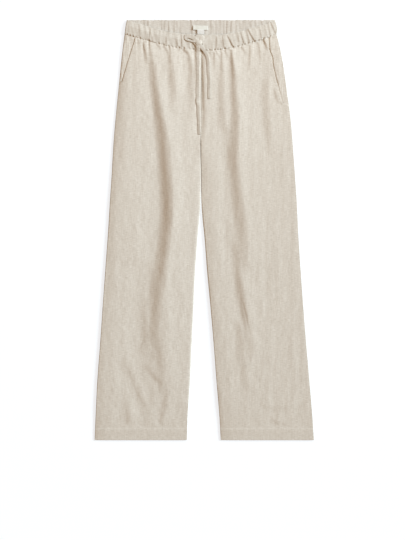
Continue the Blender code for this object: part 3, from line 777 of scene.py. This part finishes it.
def backPuff(x, down, rows):  # gathers that stand up just below the band
    puff, gathers = backForm["puff"], backForm["gathers"]
    across = np.exp(-(((x - backForm["middle"]) / puff["width"]) ** 4))
    height = puff["height"] * across * bell(rows - puff["below"], puff["depth"])
    wave = gathers["swing"] * ripple(x, down, gathers["across"], gathers["along"], 41)
    return np.clip(height * (gathers["least"] + wave), 0.0, puff["limit"])


def buildBack(side):
    form = backForm
    length = garment["outseam"] - garment["bandDepth"] - garment["seamGap"]
    atTop, atHem = form["legMargin"]
    legRows = np.linspace(atTop, length - atHem, form["legRows"])
    rows = np.concatenate([form["topRows"], legRows, length - np.array(form["hemRows"])])[:, None]
    down = garment["bandDepth"] + garment["seamGap"] + rows
    outer, inner = outlineX("outer", side, down), outlineX("inner", side, down)
    left, right = (outer, inner) if side == "left" else (inner, outer)
    margins = np.array(form["sideMargin"])
    shares = np.linspace(0.0, 1.0, form["columns"] + 2)[None, 1:-1]
    middle = left + margins[-1] + (right - left - 2 * margins[-1]) * shares
    x = np.concatenate([left + margins, middle, right - margins[::-1]], 1)
    fade = np.maximum(1 - rows / form["sagReach"], 0.0) ** 2
    down = down + (backSeamDown(x) - garment["bandDepth"]) * fade
    hem = form["hemRise"] * easeFrom(rows, length - form["hemDepth"], form["hemStep"])
    height = garment["backCloth"] + backPuff(x, down, rows) + hem
    edge = np.minimum(np.abs(x - x[:, :1]), np.abs(x - x[:, -1:]))
    edge = np.minimum(edge, np.minimum(rows, length - rows))
    height = form["edgeHeight"] + (height - form["edgeHeight"]) * rollOff(edge / form["edgeRadius"])
    under = form["underRise"] * (1 - rollOff(edge / form["underRadius"]))
    piece = layCloth("backLeg" + side.title(), x, down, height, under, 600.0)
    return finishPiece(piece, linenInsideShaded, "linen_inside", "back_" + side)


backs = {side: buildBack(side) for side in ("left", "right")}


# Pocket facings, tucked under the front's pocket edge
facing = {
    "rows": 110,
    "columns": 29,
    "sideMargin": (0.0, 0.15, 0.4, 0.8, 1.4, 2.2),
    "tuck": 9.0,
    "topTuck": 0.9,
    "below": 12.0,
    "sink": 0.9,  # mm below the front's cloth at the pocket's edge, and more at the side seam
    "slope": 0.2,
    "overFront": 0.6,  # mm at most above where the front's cloth would be
    "climb": {"left": 0.15, "right": 1.2},  # mm that it stands up beside the pocket's edge
    "climbReach": (-0.5, 4.5),  # mm from that edge, and over what length
    "climbFade": {"left": 0.0, "right": 0.6},  # share of that lost towards the mouth's lower end
    "climbFadeStart": (56.0, 26.0),  # mm before the end, and over what length
    "waves": ((0.12, 14.0, 60.0),),
    "waveStart": 4.0,
    "footHidden": (1.0, 4.0),  # mm before its lower edge, and over what length it goes down there
    "edgeRoll": {"left": 2.2, "right": 0.4},
    "wall": 0.7,
    "tuckedHeight": 2.05,
    "lowest": 2.0,
}


def facingPlaces(side, outward):  # rows from the band's seam to below the mouth's end
    margins = np.array(facing["sideMargin"])
    shares = np.linspace(0.0, 1.0, facing["columns"] + 1)[None, 1:]
    along = np.linspace(0.0, 1.0, facing["rows"])[:, None]
    foot = pocketLine[side][-1][0] + facing["below"]
    top = garment["bandDepth"]
    down = top + (foot - top) * along
    for _ in range(3):  # a column's x depends on its down, and the other way round
        outer = outlineX("outer", side, down[:, :1])
        inner = readCurve(pocketLine[side], down[:, :1]) - outward * facing["tuck"]
        base = outer - outward * margins[-1]
        x = np.concatenate([outer - outward * margins, base + (inner - base) * shares], 1)
        top = seamDown(x) - facing["topTuck"]
        down = top + (foot - top) * along
    return x, down


def buildFacing(side):
    outward = -1.0 if side == "left" else 1.0
    x, down = facingPlaces(side, outward)
    end = pocketLine[side][-1][0]
    outer = outlineX("outer", side, down)
    line = readCurve(pocketLine[side], down)
    gap = (x - line) * outward  # 0 at the pocket's edge, positive in the open
    across = np.clip(gap / np.maximum((outer - line) * outward, 6.0), 0.0, 1.0)
    front = frontHeight(side, x, down) + pitDepth(x, down)
    frontAtLine = frontHeight(side, line, down) + pitDepth(line, down)
    before, length = facing["climbFadeStart"]
    climb = facing["climb"][side] * easeFrom(gap, *facing["climbReach"])
    climb = climb * (1 - facing["climbFade"][side] * easeFrom(down, end - before, length))
    height = np.minimum(frontAtLine, front + facing["overFront"])
    height = height - facing["sink"] - facing["slope"] * across + climb
    height += unevenness(x, down, facing["waves"], 61) * ease(gap / facing["waveStart"])
    before, length = facing["footHidden"]
    shown = ease((end + facing["below"] - before - down) / length)
    height = facing["tuckedHeight"] + (height - facing["tuckedHeight"]) * shown
    height = np.maximum(height, facing["lowest"])
    seamHeight = garment["seamHeight"]
    height = seamHeight + (height - seamHeight) * rollOff(np.abs(outer - x) / facing["edgeRoll"][side])
    under = np.maximum(height - facing["wall"], garment["undersideFloor"])
    if side == "right":
        x, down, height, under = (places[:, ::-1] for places in (x, down, height, under))
    piece = layCloth("pocketFacing" + side.title(), x, down, height, under, 300.0)
    return finishPiece(piece, linenCloth, "linen", "pocket_facing_" + side)


facings = {side: buildFacing(side) for side in ("left", "right")}
print("back legs and pocket facings built")

# Waistband. Creases: x and down at their upper end, then at their lower end, and strength.
frontBandCreases = (
    (-188.9, 5.5, -189.4, 30, 1), (-180.6, 8.8, -180.6, 31, 1), (-163.4, 12, -160.6, 46.5, 2),
    (-144.9, 20, -149.9, 50, 1), (-134.1, 21.2, -138.4, 52.2, 3), (-110.4, 25.8, -113.1, 59.5, 2),
    (-95.1, 27.8, -94.4, 63.8, 2), (-79, 33, -80, 66, 1), (-68.4, 35, -67.1, 65.8, 2),
    (-57.6, 35, -55.6, 68, 3), (-39.1, 50, -36.9, 70, 2), (-31.1, 52, -28.4, 73, 2),
    (-30.5, 58, -17.5, 68, 5), (-8, 59.5, -3, 60, 4), (12, 42, 11, 74, 1), (21, 42, 20, 75, 1),
    (30.6, 40.7, 29.6, 75, 3), (38.9, 43.8, 38.1, 66, 1), (44.6, 39.5, 50.4, 73, 3),
    (56.1, 38, 73.4, 68.5, 4), (82.9, 32, 87.4, 55, 2), (90.6, 31.8, 99.6, 60, 3),
    (104.1, 24.7, 114.1, 57, 2), (106.6, 22, 127.4, 55, 4), (124, 20, 131, 40, 1),
    (136.9, 16, 143.9, 46, 2), (150, 12, 155, 40, 1), (159.6, 8, 163.9, 38, 2),
    (162.9, 2.8, 179.6, 34.8, 3),
)
backBandCreases = (
    (-187.9, 0, -188, 10, 1), (-172.9, 0, -173, 8, 1), (-150.9, 0, -150.5, 13, 2),
    (-140.9, 1, -140.5, 18, 3), (-130.5, 0, -131, 20, 1), (-120.9, 0, -121, 24, 1),
    (-106, 0, -106, 28, 3), (-99.2, 0, -99, 28, 1), (-88.6, 0, -88.6, 32, 3), (-74.4, 2, -75.4, 33, 2),
    (-68, 0, -68, 34, 1), (-59.9, 0, -60, 34, 1), (-48, 0, -48.5, 35, 1), (-33.6, 0, -30.4, 36, 3),
    (-19.6, 22, -19.6, 36, 2), (-5, 0, -5, 36, 1), (16.9, 0, 17, 36, 2), (29, 0, 29.5, 36, 1),
    (41.4, 0, 41.4, 36, 1), (48.6, 0, 49.6, 36, 2), (57.1, 0, 55.6, 36, 3), (67.6, 0, 66.1, 34, 3),
    (79, 0, 79, 32, 1), (90, 0, 90.5, 28, 1), (103, 0, 103.5, 24, 1), (115.6, 0, 116, 22, 1),
    (128, 0, 129, 18, 1), (140.1, 0, 146, 14, 2), (158, 0, 161, 8, 1),
)
# Half width in mm and slope of a crease, by its strength.
strengths = {1: (1.6, 0.07), 2: (1.5, 0.15), 3: (1.4, 0.26), 4: (1.6, 0.40), 5: (1.2, 0.75)}
band = {
    "columns": 400,
    "rows": 34,
    "backTop": 3.1,
    "endDrop": 0.9,
    "endLength": 14.0,
    "endRadius": {"left": 2.2, "right": 0.5},
    "endWall": 0.4,
    "frontWall": 3.2,
    "leastWall": 0.7,
    "topThin": 1.2,  # mm that the front stretch is thinner at its upper edge
    "topThinReach": 16.0,
    "leftThin": {"mm": 0.95, "from": -90.0, "length": 75.0},  # and towards its left end
    "frontSag": 0.8,
    "frontRise": 2.5,  # mm that the front's upper edge stands up at the middle
    "frontRiseWidth": 38.0,
    "middle": 5.0,
    "topRadius": 0.3,
    "topDrop": 0.2,
    "footRadius": 1.6,
    "footDrop": 0.6,  # mm at most that the lower edge is rolled down
    "footWall": 0.2,
    "overSeam": 0.05,  # mm that its lower edge stands above the leg's cloth
    "gathers": ((0.12, 13.0, 260.0),),
    "slant": 0.25,  # of those gathers
    "crumples": ((0.15, 30.0, 60.0),),
    "backSink": 0.7,
    "backFoot": {"drop": 0.5, "reach": 3.0, "lap": 0.4},  # where its stitched lower edge lies lower
    "backLowest": 1.2,
    "backWaves": ((0.10, 11.0, 300.0), (0.12, 26.0, 50.0)),
    "backEdgeHeight": 0.8,
    "backEdgeRadius": 0.8,
    "backUnderRise": 0.3,
    "scallop": 0.5,  # mm that the upper edges wave, less and less over this many mm
    "scallopReach": 12.0,
}


def creaseLines(creases):
    lines = {}
    for index, (x0, down0, x1, down1, strength) in enumerate(creases):
        width, depth = strengths[strength]
        upper = (x0, down0 - 2, width * 0.8, depth * 0.8)
        middle = ((x0 + x1) / 2, (down0 + down1) / 2, width, depth)
        lines[index] = (upper, middle, (x1, down1 + 2, width, depth))
    return lines


frontBandLines = creaseLines(frontBandCreases)
backBandLines = creaseLines(backBandCreases)


def backBandTop(x):
    reach = np.maximum(np.minimum(x - outline[0][1], outline[0][4] - x), 0.0)
    return band["backTop"] - band["endDrop"] * np.exp(-reach / band["endLength"])


def backBandFoot(x):
    return backSeamDown(x) + band["backFoot"]["lap"]


def frontBandTopDown(x):  # the front band's upper edge
    rise = band["frontRise"] * bell(x - band["middle"], band["frontRiseWidth"])
    return seamDown(x) - garment["bandDepth"] - rise


def bandPlaces(share, across, topOf, footOf):
    low = outlineX("outer", "left", garment["bandDepth"] * across)
    high = outlineX("outer", "right", garment["bandDepth"] * across)
    x = low + (high - low) * share
    return x, topOf(x) + (footOf(x) - topOf(x)) * across


def bandShares():
    margins = np.array([0.0, 0.0004, 0.001, 0.002, 0.0035, 0.0055, 0.008])
    middle = np.linspace(0.0, 1.0, band["columns"] + 2)[1:-1] * 0.984 + 0.008
    columns = np.concatenate([margins[:-1], middle, 1 - margins[:-1][::-1]])[None, :]
    edge = np.array([0.0, 0.0012, 0.004, 0.008, 0.013, 0.022, 0.038, 0.06])
    inside = np.linspace(0.06, 0.94, band["rows"])[1:-1]
    rows = np.concatenate([edge, inside, 1 - edge[::-1]])[:, None]
    return columns, rows


def bandEnds(x):
    left, right = np.abs(x - x[:, :1]), np.abs(x - x[:, -1:])
    return rollOff(left / band["endRadius"]["left"]) * rollOff(right / band["endRadius"]["right"])


def scallop(x, down, below, length, seed):  # below: how far a place lies below the band's upper edge
    wave = band["scallop"] * ripple(x, down, length, 900.0, seed)
    return wave * np.clip(1 - below / band["scallopReach"], 0, 1)


def frontBandHeight(x, down):
    sag = band["frontSag"] * easeFrom(down, garment["bandDepth"], 30.0)
    under = backBandTop(x) + garment["seamGap"] - sag
    puff = unevenness(x - band["slant"] * down, down, band["gathers"], 71)
    puff += unevenness(x, down, band["crumples"], 72)
    lower = ease((down - frontBandTopDown(x)) / band["topThinReach"])
    wall = band["frontWall"] - band["topThin"] * (1 - lower)
    thin = band["leftThin"]
    wall = wall - thin["mm"] * ease((thin["from"] - x) / thin["length"])
    height = under + wall + puff + relief(x, down, frontBandLines, flank, 0.12)
    return np.maximum(height, under + band["leastWall"]), under


def buildFrontBand():
    shares, across = bandShares()
    x, down = bandPlaces(shares, across, frontBandTopDown, seamDown)
    height, under = frontBandHeight(x, down)
    below = down - frontBandTopDown(x)
    endHeight = under + band["endWall"]
    height = endHeight + (height - endHeight) * bandEnds(x)
    height -= band["topDrop"] * (1 - rollOff(below / band["topRadius"]))
    foot = legHeight(x, seamDown(x) + 0.05) + band["overSeam"]
    foot = np.clip(foot, under + band["footWall"], height)
    height = height - np.minimum(pitDepth(x, down), height - foot)
    foot = np.maximum(foot, height - band["footDrop"])
    height = foot + (height - foot) * rollOff((seamDown(x) - down) / band["footRadius"])
    down = down + scallop(x, down, below, 16.0, 73)
    piece = layCloth("waistbandFront", x, down, height, under, 900.0)
    return finishPiece(piece, linenGatherShade, "linen", "waistband_front")


def backBandHeight(x, down):
    puff = unevenness(x, down, band["backWaves"], 81)
    height = backBandTop(x) - band["backSink"] + puff + relief(x, down, backBandLines, flank, 0.1)
    foot = band["backFoot"]
    stitched = foot["drop"] * np.exp(-((backSeamDown(x) - down) / foot["reach"]))
    return np.clip(height - stitched, band["backLowest"], backBandTop(x))


def buildBackBand():
    shares, across = bandShares()
    x, down = bandPlaces(shares, across, np.zeros_like, backBandFoot)
    height = backBandHeight(x, down)
    edge = np.minimum(down, backBandFoot(x) - down)
    turned = rollOff(edge / band["backEdgeRadius"])
    edgeHeight = band["backEdgeHeight"]
    height = edgeHeight + (height - edgeHeight) * bandEnds(x) - 2 * band["topDrop"] * (1 - turned)
    under = band["backUnderRise"] * (1 - turned * bandEnds(x))
    down = down + scallop(x, 0.0, down, 15.0, 83)
    piece = layCloth("waistbandBack", x, down, height, under, 1200.0)
    return finishPiece(piece, linenInsideShaded, "linen_inside", "waistband_back")


waistFront = buildFrontBand()
waistBack = buildBackBand()
print("waistband built")

# Labels inside the back waistband, both left bare
labels = {
    "labelMain": {
        "x": (-28.4, 9.2), "down": (14.4, 25.4), "lift": (0.2, 0.7),
        "material": labelSatin, "slot": "label_satin", "node": "label_main",
    },
    "labelSize": {
        "x": (-17.5, -0.4), "down": (24.6, 35.2), "lift": (1.2, 0.3),
        "material": labelCotton, "slot": "label_cotton", "node": "label_size",
    },
}
labelForm = {"columns": 60, "rows": 24, "wall": 0.25, "slope": 0.03, "level": -9.5}


def askew(x):  # mm further down that a label lies, since both are sewn on a little askew
    return labelForm["slope"] * (x - labelForm["level"])


def labelUnder(label, x, share):  # height of its underside, a share of the way down it
    atTop, atFoot = label["lift"]
    return backBandTop(x) + atTop + (atFoot - atTop) * ease(share)


def buildLabel(name):
    label = labels[name]
    x = np.linspace(*label["x"], labelForm["columns"])[None, :] + np.zeros((labelForm["rows"], 1))
    across = np.linspace(0.0, 1.0, labelForm["rows"])[:, None]
    top, bottom = label["down"]
    down = top + (bottom - top) * across + askew(x)
    under = labelUnder(label, x, across) + 0.08 * ripple(x, down, 26.0, 60.0, 91)
    weave = np.stack([x, -down], -1) * mm
    face = toWorld(x, down, under + labelForm["wall"])
    piece = shellMesh(name, face, toWorld(x, down, under), weave)
    finishPiece(piece, label["material"], label["slot"], label["node"])


for name in labels:
    buildLabel(name)
print("labels sewn in")

# Drawstring: one flat tape, tied in a bow. Tails: x, down and lift above the cloth.
tape = {
    "width": 9.5,
    "wall": 0.65,
    "wave": 0.07,
    "rings": {"left": 228, "right": 144},
    "bridge": 6,  # rings each way over which a tail spans the cloth's dips
    "sink": 0.3,  # mm at most into the cloth's high places
    "lean": (-3.0, 2.0),  # degrees that a tail is rolled, and how much that varies
    "share": (0.92, 0.03),  # of the full width, and how much that varies
    "wander": 0.35,
    "curl": {"left": (0.28, 0.1), "right": (0.35, 0.2)},  # mm that one edge curls, from what share on
    "twist": {"down": 205.0, "reach": 8.0, "roll": 9.0, "lift": 0.3, "narrow": 0.08},  # left tail only
}
tailRoutes = {
    "right": (
        (-13.6, 60.0, 0.4), (-9.8, 65.6, 0.6), (-4.6, 71.4, 0.6), (0.8, 78.4, 0.5), (6.4, 89.4, 0.45),
        (9.0, 102.3, 0.3), (10.2, 128.3, 0.1), (11.6, 157.0, 0.05), (12.2, 197.3, 0.05),
    ),
    "left": (
        (-15.8, 58.5, 0.3), (-15.6, 66.5, 0.45), (-15.6, 73.5, 0.35), (-15.8, 81.0, 0.1),
        (-16.2, 101.3, 0.05), (-16.7, 151.3, 0.05), (-16.8, 197.0, 0.05), (-15.7, 216.0, 0.05),
        (-14.9, 245.0, 0.05), (-13.1, 286.3, 0.05),
    ),
}
# The open loop: x, down, height, roll of the tape about its run in degrees, and share of its width.
loopRoute = (
    (-20.0, 55.0, 7.5, 4, 0.45), (-29.0, 53.6, 7.7, 4, 0.45), (-38.0, 51.8, 7.5, 3, 0.45),
    (-44.5, 49.4, 7.2, 2, 0.5), (-47.4, 45.6, 6.9, 3, 0.65), (-45.4, 41.8, 6.8, 3, 0.90),
    (-40.0, 40.4, 7.0, 2, 1.05), (-32.0, 42.2, 7.3, 0, 1.15), (-25.0, 46.6, 7.7, -3, 1.05),
    (-18.5, 52.0, 7.7, -3, 0.8),
)


def surfaceUnder(x, down):  # the cloth's top under a tape, on the band or on the legs
    return np.where(down < seamDown(x) + 1.0, frontBandHeight(x, down)[0], legHeight(x, down))


def tapeSection():  # one ring of the tape: across and up, in shares of its width and wall
    turn = np.linspace(0.0, math.tau, 20, endpoint=False)
    across = np.sign(np.cos(turn)) * np.abs(np.cos(turn)) ** 0.3
    up = np.sign(np.sin(turn)) * np.abs(np.sin(turn)) ** 0.4
    return across / 2, up / 2


def buildTape(name, line, node, seed, curl=(0.0, 0.1)):  # line: as the rows of loopRoute
    points = toWorld(*line.T[:3])
    run = np.gradient(points, axis=0)
    run /= np.linalg.norm(run, axis=1, keepdims=True)
    level = np.cross(run, np.array([0.0, 0.0, 1.0]))
    level /= np.linalg.norm(level, axis=1, keepdims=True)
    lift = np.cross(level, run)
    angle = np.radians(line[:, 3])[:, None]
    side = level * np.cos(angle) + lift * np.sin(angle)
    face = lift * np.cos(angle) - level * np.sin(angle)
    across, up = tapeSection()
    lengths = np.concatenate(([0.0], np.cumsum(np.linalg.norm(np.diff(points, axis=0), axis=1)))) / mm
    width = tape["width"] * line[:, 4]
    wave = tape["wave"] * ripple(lengths[:, None], across[None, :] * 6, 9.0, 12.0, seed)
    drop, start = curl
    wave -= drop * np.clip((across[None, :] - start) / (0.5 - start), 0.0, 1.0) ** 2
    sideways = across[None, :] * width[:, None]
    upward = up[None, :] * tape["wall"] + wave
    fromLine = side[:, None] * sideways[..., None] + face[:, None] * upward[..., None]
    rings = points[:, None] + fromLine * mm
    faces = tubeFaces(len(line), len(across))
    weave = np.stack([sideways + 1500.0 + 20 * seed, lengths[:, None] + 0 * sideways], -1) * mm
    piece = meshPiece(name, rings.reshape(-1, 3), faces, weave.reshape(-1, 2))
    finishPiece(piece, shadedTapeCloth, "drawstring_linen", node)
    return piece, points


def tailLine(side):
    line = tracedLine(tailRoutes[side], tape["rings"][side])
    x, down, lift = line.T
    beside = np.array([-0.5, -0.25, 0.0, 0.25, 0.5]) * tape["width"]
    cloth = surfaceUnder(x[:, None] + beside, down[:, None] + 0 * beside).max(1)
    bridge = tape["bridge"]
    spans = [cloth[max(index - bridge, 0):index + bridge + 1] for index in range(len(cloth))]
    smooth = np.array([span.mean() for span in spans])
    height = np.maximum(smooth, cloth - tape["sink"]) + lift + tape["wall"] / 2
    lean, swing = tape["lean"]
    roll = lean + swing * ripple(down, 0.0, 90.0, 900.0, 7 if side == "left" else 8)
    usual, swing = tape["share"]
    share = usual + swing * ripple(down, 0.0, 40.0, 900.0, 9)
    if side == "left":
        twist = tape["twist"]
        turned = bell(down - twist["down"], twist["reach"])
        roll = roll + twist["roll"] * turned
        height = height + twist["lift"] * turned
        share = share + twist["narrow"] * (ease((twist["down"] - down) / 20.0) - turned)
    x = x + tape["wander"] * ripple(down, 0.0, 60.0, 900.0, 5)
    return np.stack([x, down, height, roll, share], 1)


for side, seed in (("left", 4), ("right", 6)):
    name = "drawstringTail" + side.title()
    buildTape(name, tailLine(side), "drawstring_tail_" + side, seed, tape["curl"][side])
openLoop = buildTape("drawstringLoopLeft", tracedLine(loopRoute, 110), "drawstring_loop_left", 5)[0]

# Tape wrapped on itself: the knot, and the other loop, which lies shut. A strap runs at strapTurn
# degrees between grooves, and a crease climbs from the lower end to the middle.
wraps = {
    "knot": {
        "centre": (-13.8, 56.8, 7.25), "half": (8.6, 7.4, 1.35), "strapTurn": 45, "rise": 0.08,
        "grooves": (-0.5, 0.48), "crease": 0.0,
    },
    "loop": {
        "centre": (-12.2, 46.2, 7.0), "half": (12.6, 10.9, 0.95), "strapTurn": -12, "rise": 0.0,
        "grooves": (), "crease": 0.4,
    },
}
# Shares of the form's own size. Squareness: the lower, the squarer, for each of its three axes.
wrapForm = {
    "rings": 60, "around": 90, "size": 0.95, "squareness": (0.9, 0.9, 0.55), "uneven": 0.012,
    "grooveDepth": 0.10, "grooveWidth": 0.07, "creaseWidth": 0.09,
}


def buildWrap(name, form, node):
    rings, around = wrapForm["rings"], wrapForm["around"]
    tilt = np.linspace(0.02, math.pi - 0.02, rings)[:, None]
    turn = np.linspace(0.0, math.tau, around, endpoint=False)[None, :]
    level = np.sin(tilt)
    unit = np.stack([level * np.cos(turn), level * np.sin(turn), np.cos(tilt) + 0 * turn], -1)
    angle = math.radians(form["strapTurn"])
    strap = unit[..., 0] * math.cos(angle) + unit[..., 1] * math.sin(angle)
    along = unit[..., 1] * math.cos(angle) - unit[..., 0] * math.sin(angle)
    scale = wrapForm["size"] + form["rise"] * easeFrom(strap, -0.5, 0.2) * ease((0.5 - strap) / 0.2)
    for spot in form["grooves"]:
        scale -= wrapForm["grooveDepth"] * bell(strap - spot, wrapForm["grooveWidth"])
    scale += wrapForm["uneven"] * ripple(unit[..., 0] * 8, unit[..., 1] * 8, 9.0, 9.0, 17)
    soft = np.sign(unit) * np.abs(unit) ** np.array(wrapForm["squareness"])
    points = soft * scale[..., None] * np.array(form["half"]) * mm
    crease = bell(strap, wrapForm["creaseWidth"]) * ease((0.35 - along) / 0.5)
    crease = crease * ease(unit[..., 2] / 0.3)
    points[..., 2] -= form["crease"] * crease * mm
    across, up = points[..., 0].ravel(), points[..., 1].ravel()
    weave = np.stack([across + up, up - across], -1) / math.sqrt(2.0)  # the tape lies on the bias
    points += toWorld(*form["centre"])
    faces = [[first, *rest[::-1]] for first, *rest in tubeFaces(rings, around)]  # turned outwards
    piece = meshPiece(name, points.reshape(-1, 3), faces, weave)
    return finishPiece(piece, shadedTapeCloth, "drawstring_linen", node)


knot = buildWrap("drawstringKnot", wraps["knot"], "drawstring_knot")
shutLoop = buildWrap("drawstringLoopRight", wraps["loop"], "drawstring_loop_right")
print("drawstring tied")

# Stitching: short threads whose ends dip into the cloth. Hem rows and pocket rows, and a bar tack
# where each pocket ends.
stitch = {
    "long": 2.6, "gap": 0.7, "radius": 0.2, "sides": 6, "hemRow": 1.8, "pocketRow": 4.2,
    "rowMargin": 2.0, "hemEnds": 28.0,  # mm above the hem's edge where its row's ends are read
}
barTack = {"count": 13, "pitch": 0.62, "long": 2.2, "half": 1.2, "lean": 0.25}
labelSeam = {"long": 1.8, "inset": 1.3, "margin": 1.2}
tackPlaces = {"left": (-205.5, 154.5), "right": (195.5, 207.5)}
# Along one stitch: share of its length, mm above the cloth, and share of the thread's radius.
stitchRings = np.array([
    (0.0, -0.2, 0.35), (0.12, -0.03, 0.9), (0.5, 0.02, 1.0), (0.88, -0.03, 0.9), (1.0, -0.2, 0.35),
])


def stitchRow(line, heightAt, length):  # line: rows of x and down
    shares, lifts, radii = stitchRings.T
    steps = np.hypot(*np.diff(line, axis=0).T)
    at = np.concatenate(([0.0], np.cumsum(steps)))
    count = max(1, int(at[-1] // (length + stitch["gap"])))
    begins = (np.arange(count) + 0.5) * at[-1] / count - length / 2
    places = begins[:, None] + length * shares
    x, down = np.interp(places, at, line[:, 0]), np.interp(places, at, line[:, 1])
    centre = toWorld(x, down, heightAt(x, down) + lifts)
    run = centre[:, -1] - centre[:, 0]
    beside = np.stack([-run[:, 1], run[:, 0], 0 * run[:, 0]], -1)
    beside /= np.linalg.norm(beside, axis=1, keepdims=True)
    turn = np.linspace(0.0, math.tau, stitch["sides"], endpoint=False)[:, None]
    ring = beside[:, None, None] * np.cos(turn) + np.array([0.0, 0.0, 1.0]) * np.sin(turn)
    return centre[:, :, None] + ring * (stitch["radius"] * mm * radii)[:, None, None]


def sewRows(name, rows, material, slot):
    threads = np.concatenate(rows)
    count, rings, sides = threads.shape[:3]
    points = threads.reshape(-1, 3)
    piece = meshPiece(name, points, tubeFaces(rings, sides, count), points[:, :2] + 3.0)
    return finishPiece(piece, material, slot)


def frontStitches(side):
    inward = 1.0 if side == "left" else -1.0
    margin = stitch["rowMargin"]
    edges = [outlineX(edge, side, garment["outseam"] - stitch["hemEnds"]) for edge in ("outer", "inner")]
    across = np.linspace(min(edges) + margin, max(edges) - margin, 80)
    hemDown = garment["outseam"] - frontForm["hemDepth"] + stitch["hemRow"]
    hemRow = np.stack([across, hemDown + 0.15 * ripple(across, 0.0, 30.0, 90.0, 31)], 1)
    mouthTop = seamDown(pocketLine[side][0][1])
    down = np.linspace(mouthTop + margin, pocketLine[side][-1][0] - margin, 60)
    pocketRow = np.stack([readCurve(pocketLine[side], down) + inward * stitch["pocketRow"], down], 1)
    heightAt = lambda x, down: frontHeight(side, x, down)
    rows = [stitchRow(row, heightAt, stitch["long"]) for row in (hemRow, pocketRow)]
    middle, tackDown = tackPlaces[side]
    half, lean = barTack["half"], barTack["lean"]
    for place in (np.arange(barTack["count"]) - barTack["count"] / 2) * barTack["pitch"] + middle:
        line = np.array([[place, tackDown - half], [place + lean, tackDown + half]])
        rows.append(stitchRow(line, heightAt, barTack["long"]))
    return sewRows("stitches" + side.title(), rows, sewingThread, "linen")


def labelStitches():  # at the main label's two ends
    label = labels["labelMain"]
    (left, right), (top, bottom) = label["x"], label["down"]
    heightAt = lambda x, down: labelForm["wall"] + labelUnder(label, x, (down - top) / (bottom - top))
    inset, margin = labelSeam["inset"], labelSeam["margin"]
    rows = []
    for x in (left + inset, right - inset):
        line = np.array([[x, top + margin + askew(x)], [x, bottom - margin + askew(x)]])
        rows.append(stitchRow(line, heightAt, labelSeam["long"]))
    return sewRows("stitchesLabel", rows, labelSatin, "label_satin")


for side in ("left", "right"):
    frontStitches(side)
labelStitches()
print("stitches sewn")


# Studio
studio = {
    "keyAzimuth": 18.0, "keyElevation": 20.0, "keySpread": 18.0,
    "keyStrength": 6.4, "keyColour": (0.82, 1.03, 1.2),
    "fillPlace": (0.3, 1.3, 0.9), "fillSize": 0.9, "fillPower": 6.6, "fillColour": (1.0, 1.03, 1.06),
    "skyColour": (1.65, 1.0, 0.44), "skyStrength": 0.23,
    "tableSize": 16.0, "tableHeight": -0.0003, "tableTone": 0.25, "tableGlow": (0.732, 0.758, 0.788),
}


def addLamp(name, kind, place, colour, power):  # shines from its place to the middle of the table
    lamp = bpy.data.lights.new(name, kind)
    lamp.color = colour
    lamp.energy = power
    holder = bpy.data.objects.new(name, lamp)
    holder.location = place
    holder.rotation_euler = Vector(place).to_track_quat("Z", "Y").to_euler()
    bpy.context.scene.collection.objects.link(holder)
    return lamp


def lightStudio():
    scene = bpy.context.scene
    scene.view_settings.view_transform = "Standard"
    scene.world = bpy.data.worlds.new("studio")
    scene.world.use_nodes = True
    background = scene.world.node_tree.nodes["Background"]
    background.inputs["Color"].default_value = (*studio["skyColour"], 1.0)
    background.inputs["Strength"].default_value = studio["skyStrength"]
    azimuth, elevation = math.radians(studio["keyAzimuth"]), math.radians(studio["keyElevation"])
    level = math.cos(elevation)
    toKey = Vector((level * math.cos(azimuth), level * math.sin(azimuth), math.sin(elevation)))
    key = addLamp("key", "SUN", toKey * 3.0, studio["keyColour"], studio["keyStrength"])
    key.angle = math.radians(studio["keySpread"])
    fill = addLamp("fill", "AREA", studio["fillPlace"], studio["fillColour"], studio["fillPower"])
    fill.size = studio["fillSize"]


def setTable():
    place = (0.0, 0.0, studio["tableHeight"])
    bpy.ops.mesh.primitive_plane_add(size=studio["tableSize"], location=place)
    table = bpy.context.object
    table.name = "tableTop"
    material, _, shader = newTree("paleTable")
    shader.inputs["Base Color"].default_value = (*[studio["tableTone"]] * 3, 1.0)
    shader.inputs["Roughness"].default_value = 0.9
    shader.inputs["Emission Color"].default_value = (*studio["tableGlow"], 1.0)
    shader.inputs["Emission Strength"].default_value = 1.0
    table.data.materials.append(material)


camera = {"distance": 8.0, "sensor": 36.0, "frameHeight": 1.35, "centre": (-0.0044, -0.1000)}


def addCamera():
    data = bpy.data.cameras.new("overhead")
    data.sensor_width = camera["sensor"]
    data.lens = camera["sensor"] * camera["distance"] / camera["frameHeight"]
    data.clip_end = 50.0
    view = bpy.data.objects.new("overhead", data)
    view.location = (*camera["centre"], camera["distance"])
    bpy.context.scene.collection.objects.link(view)
    bpy.context.scene.camera = view


lightStudio()
setTable()
addCamera()
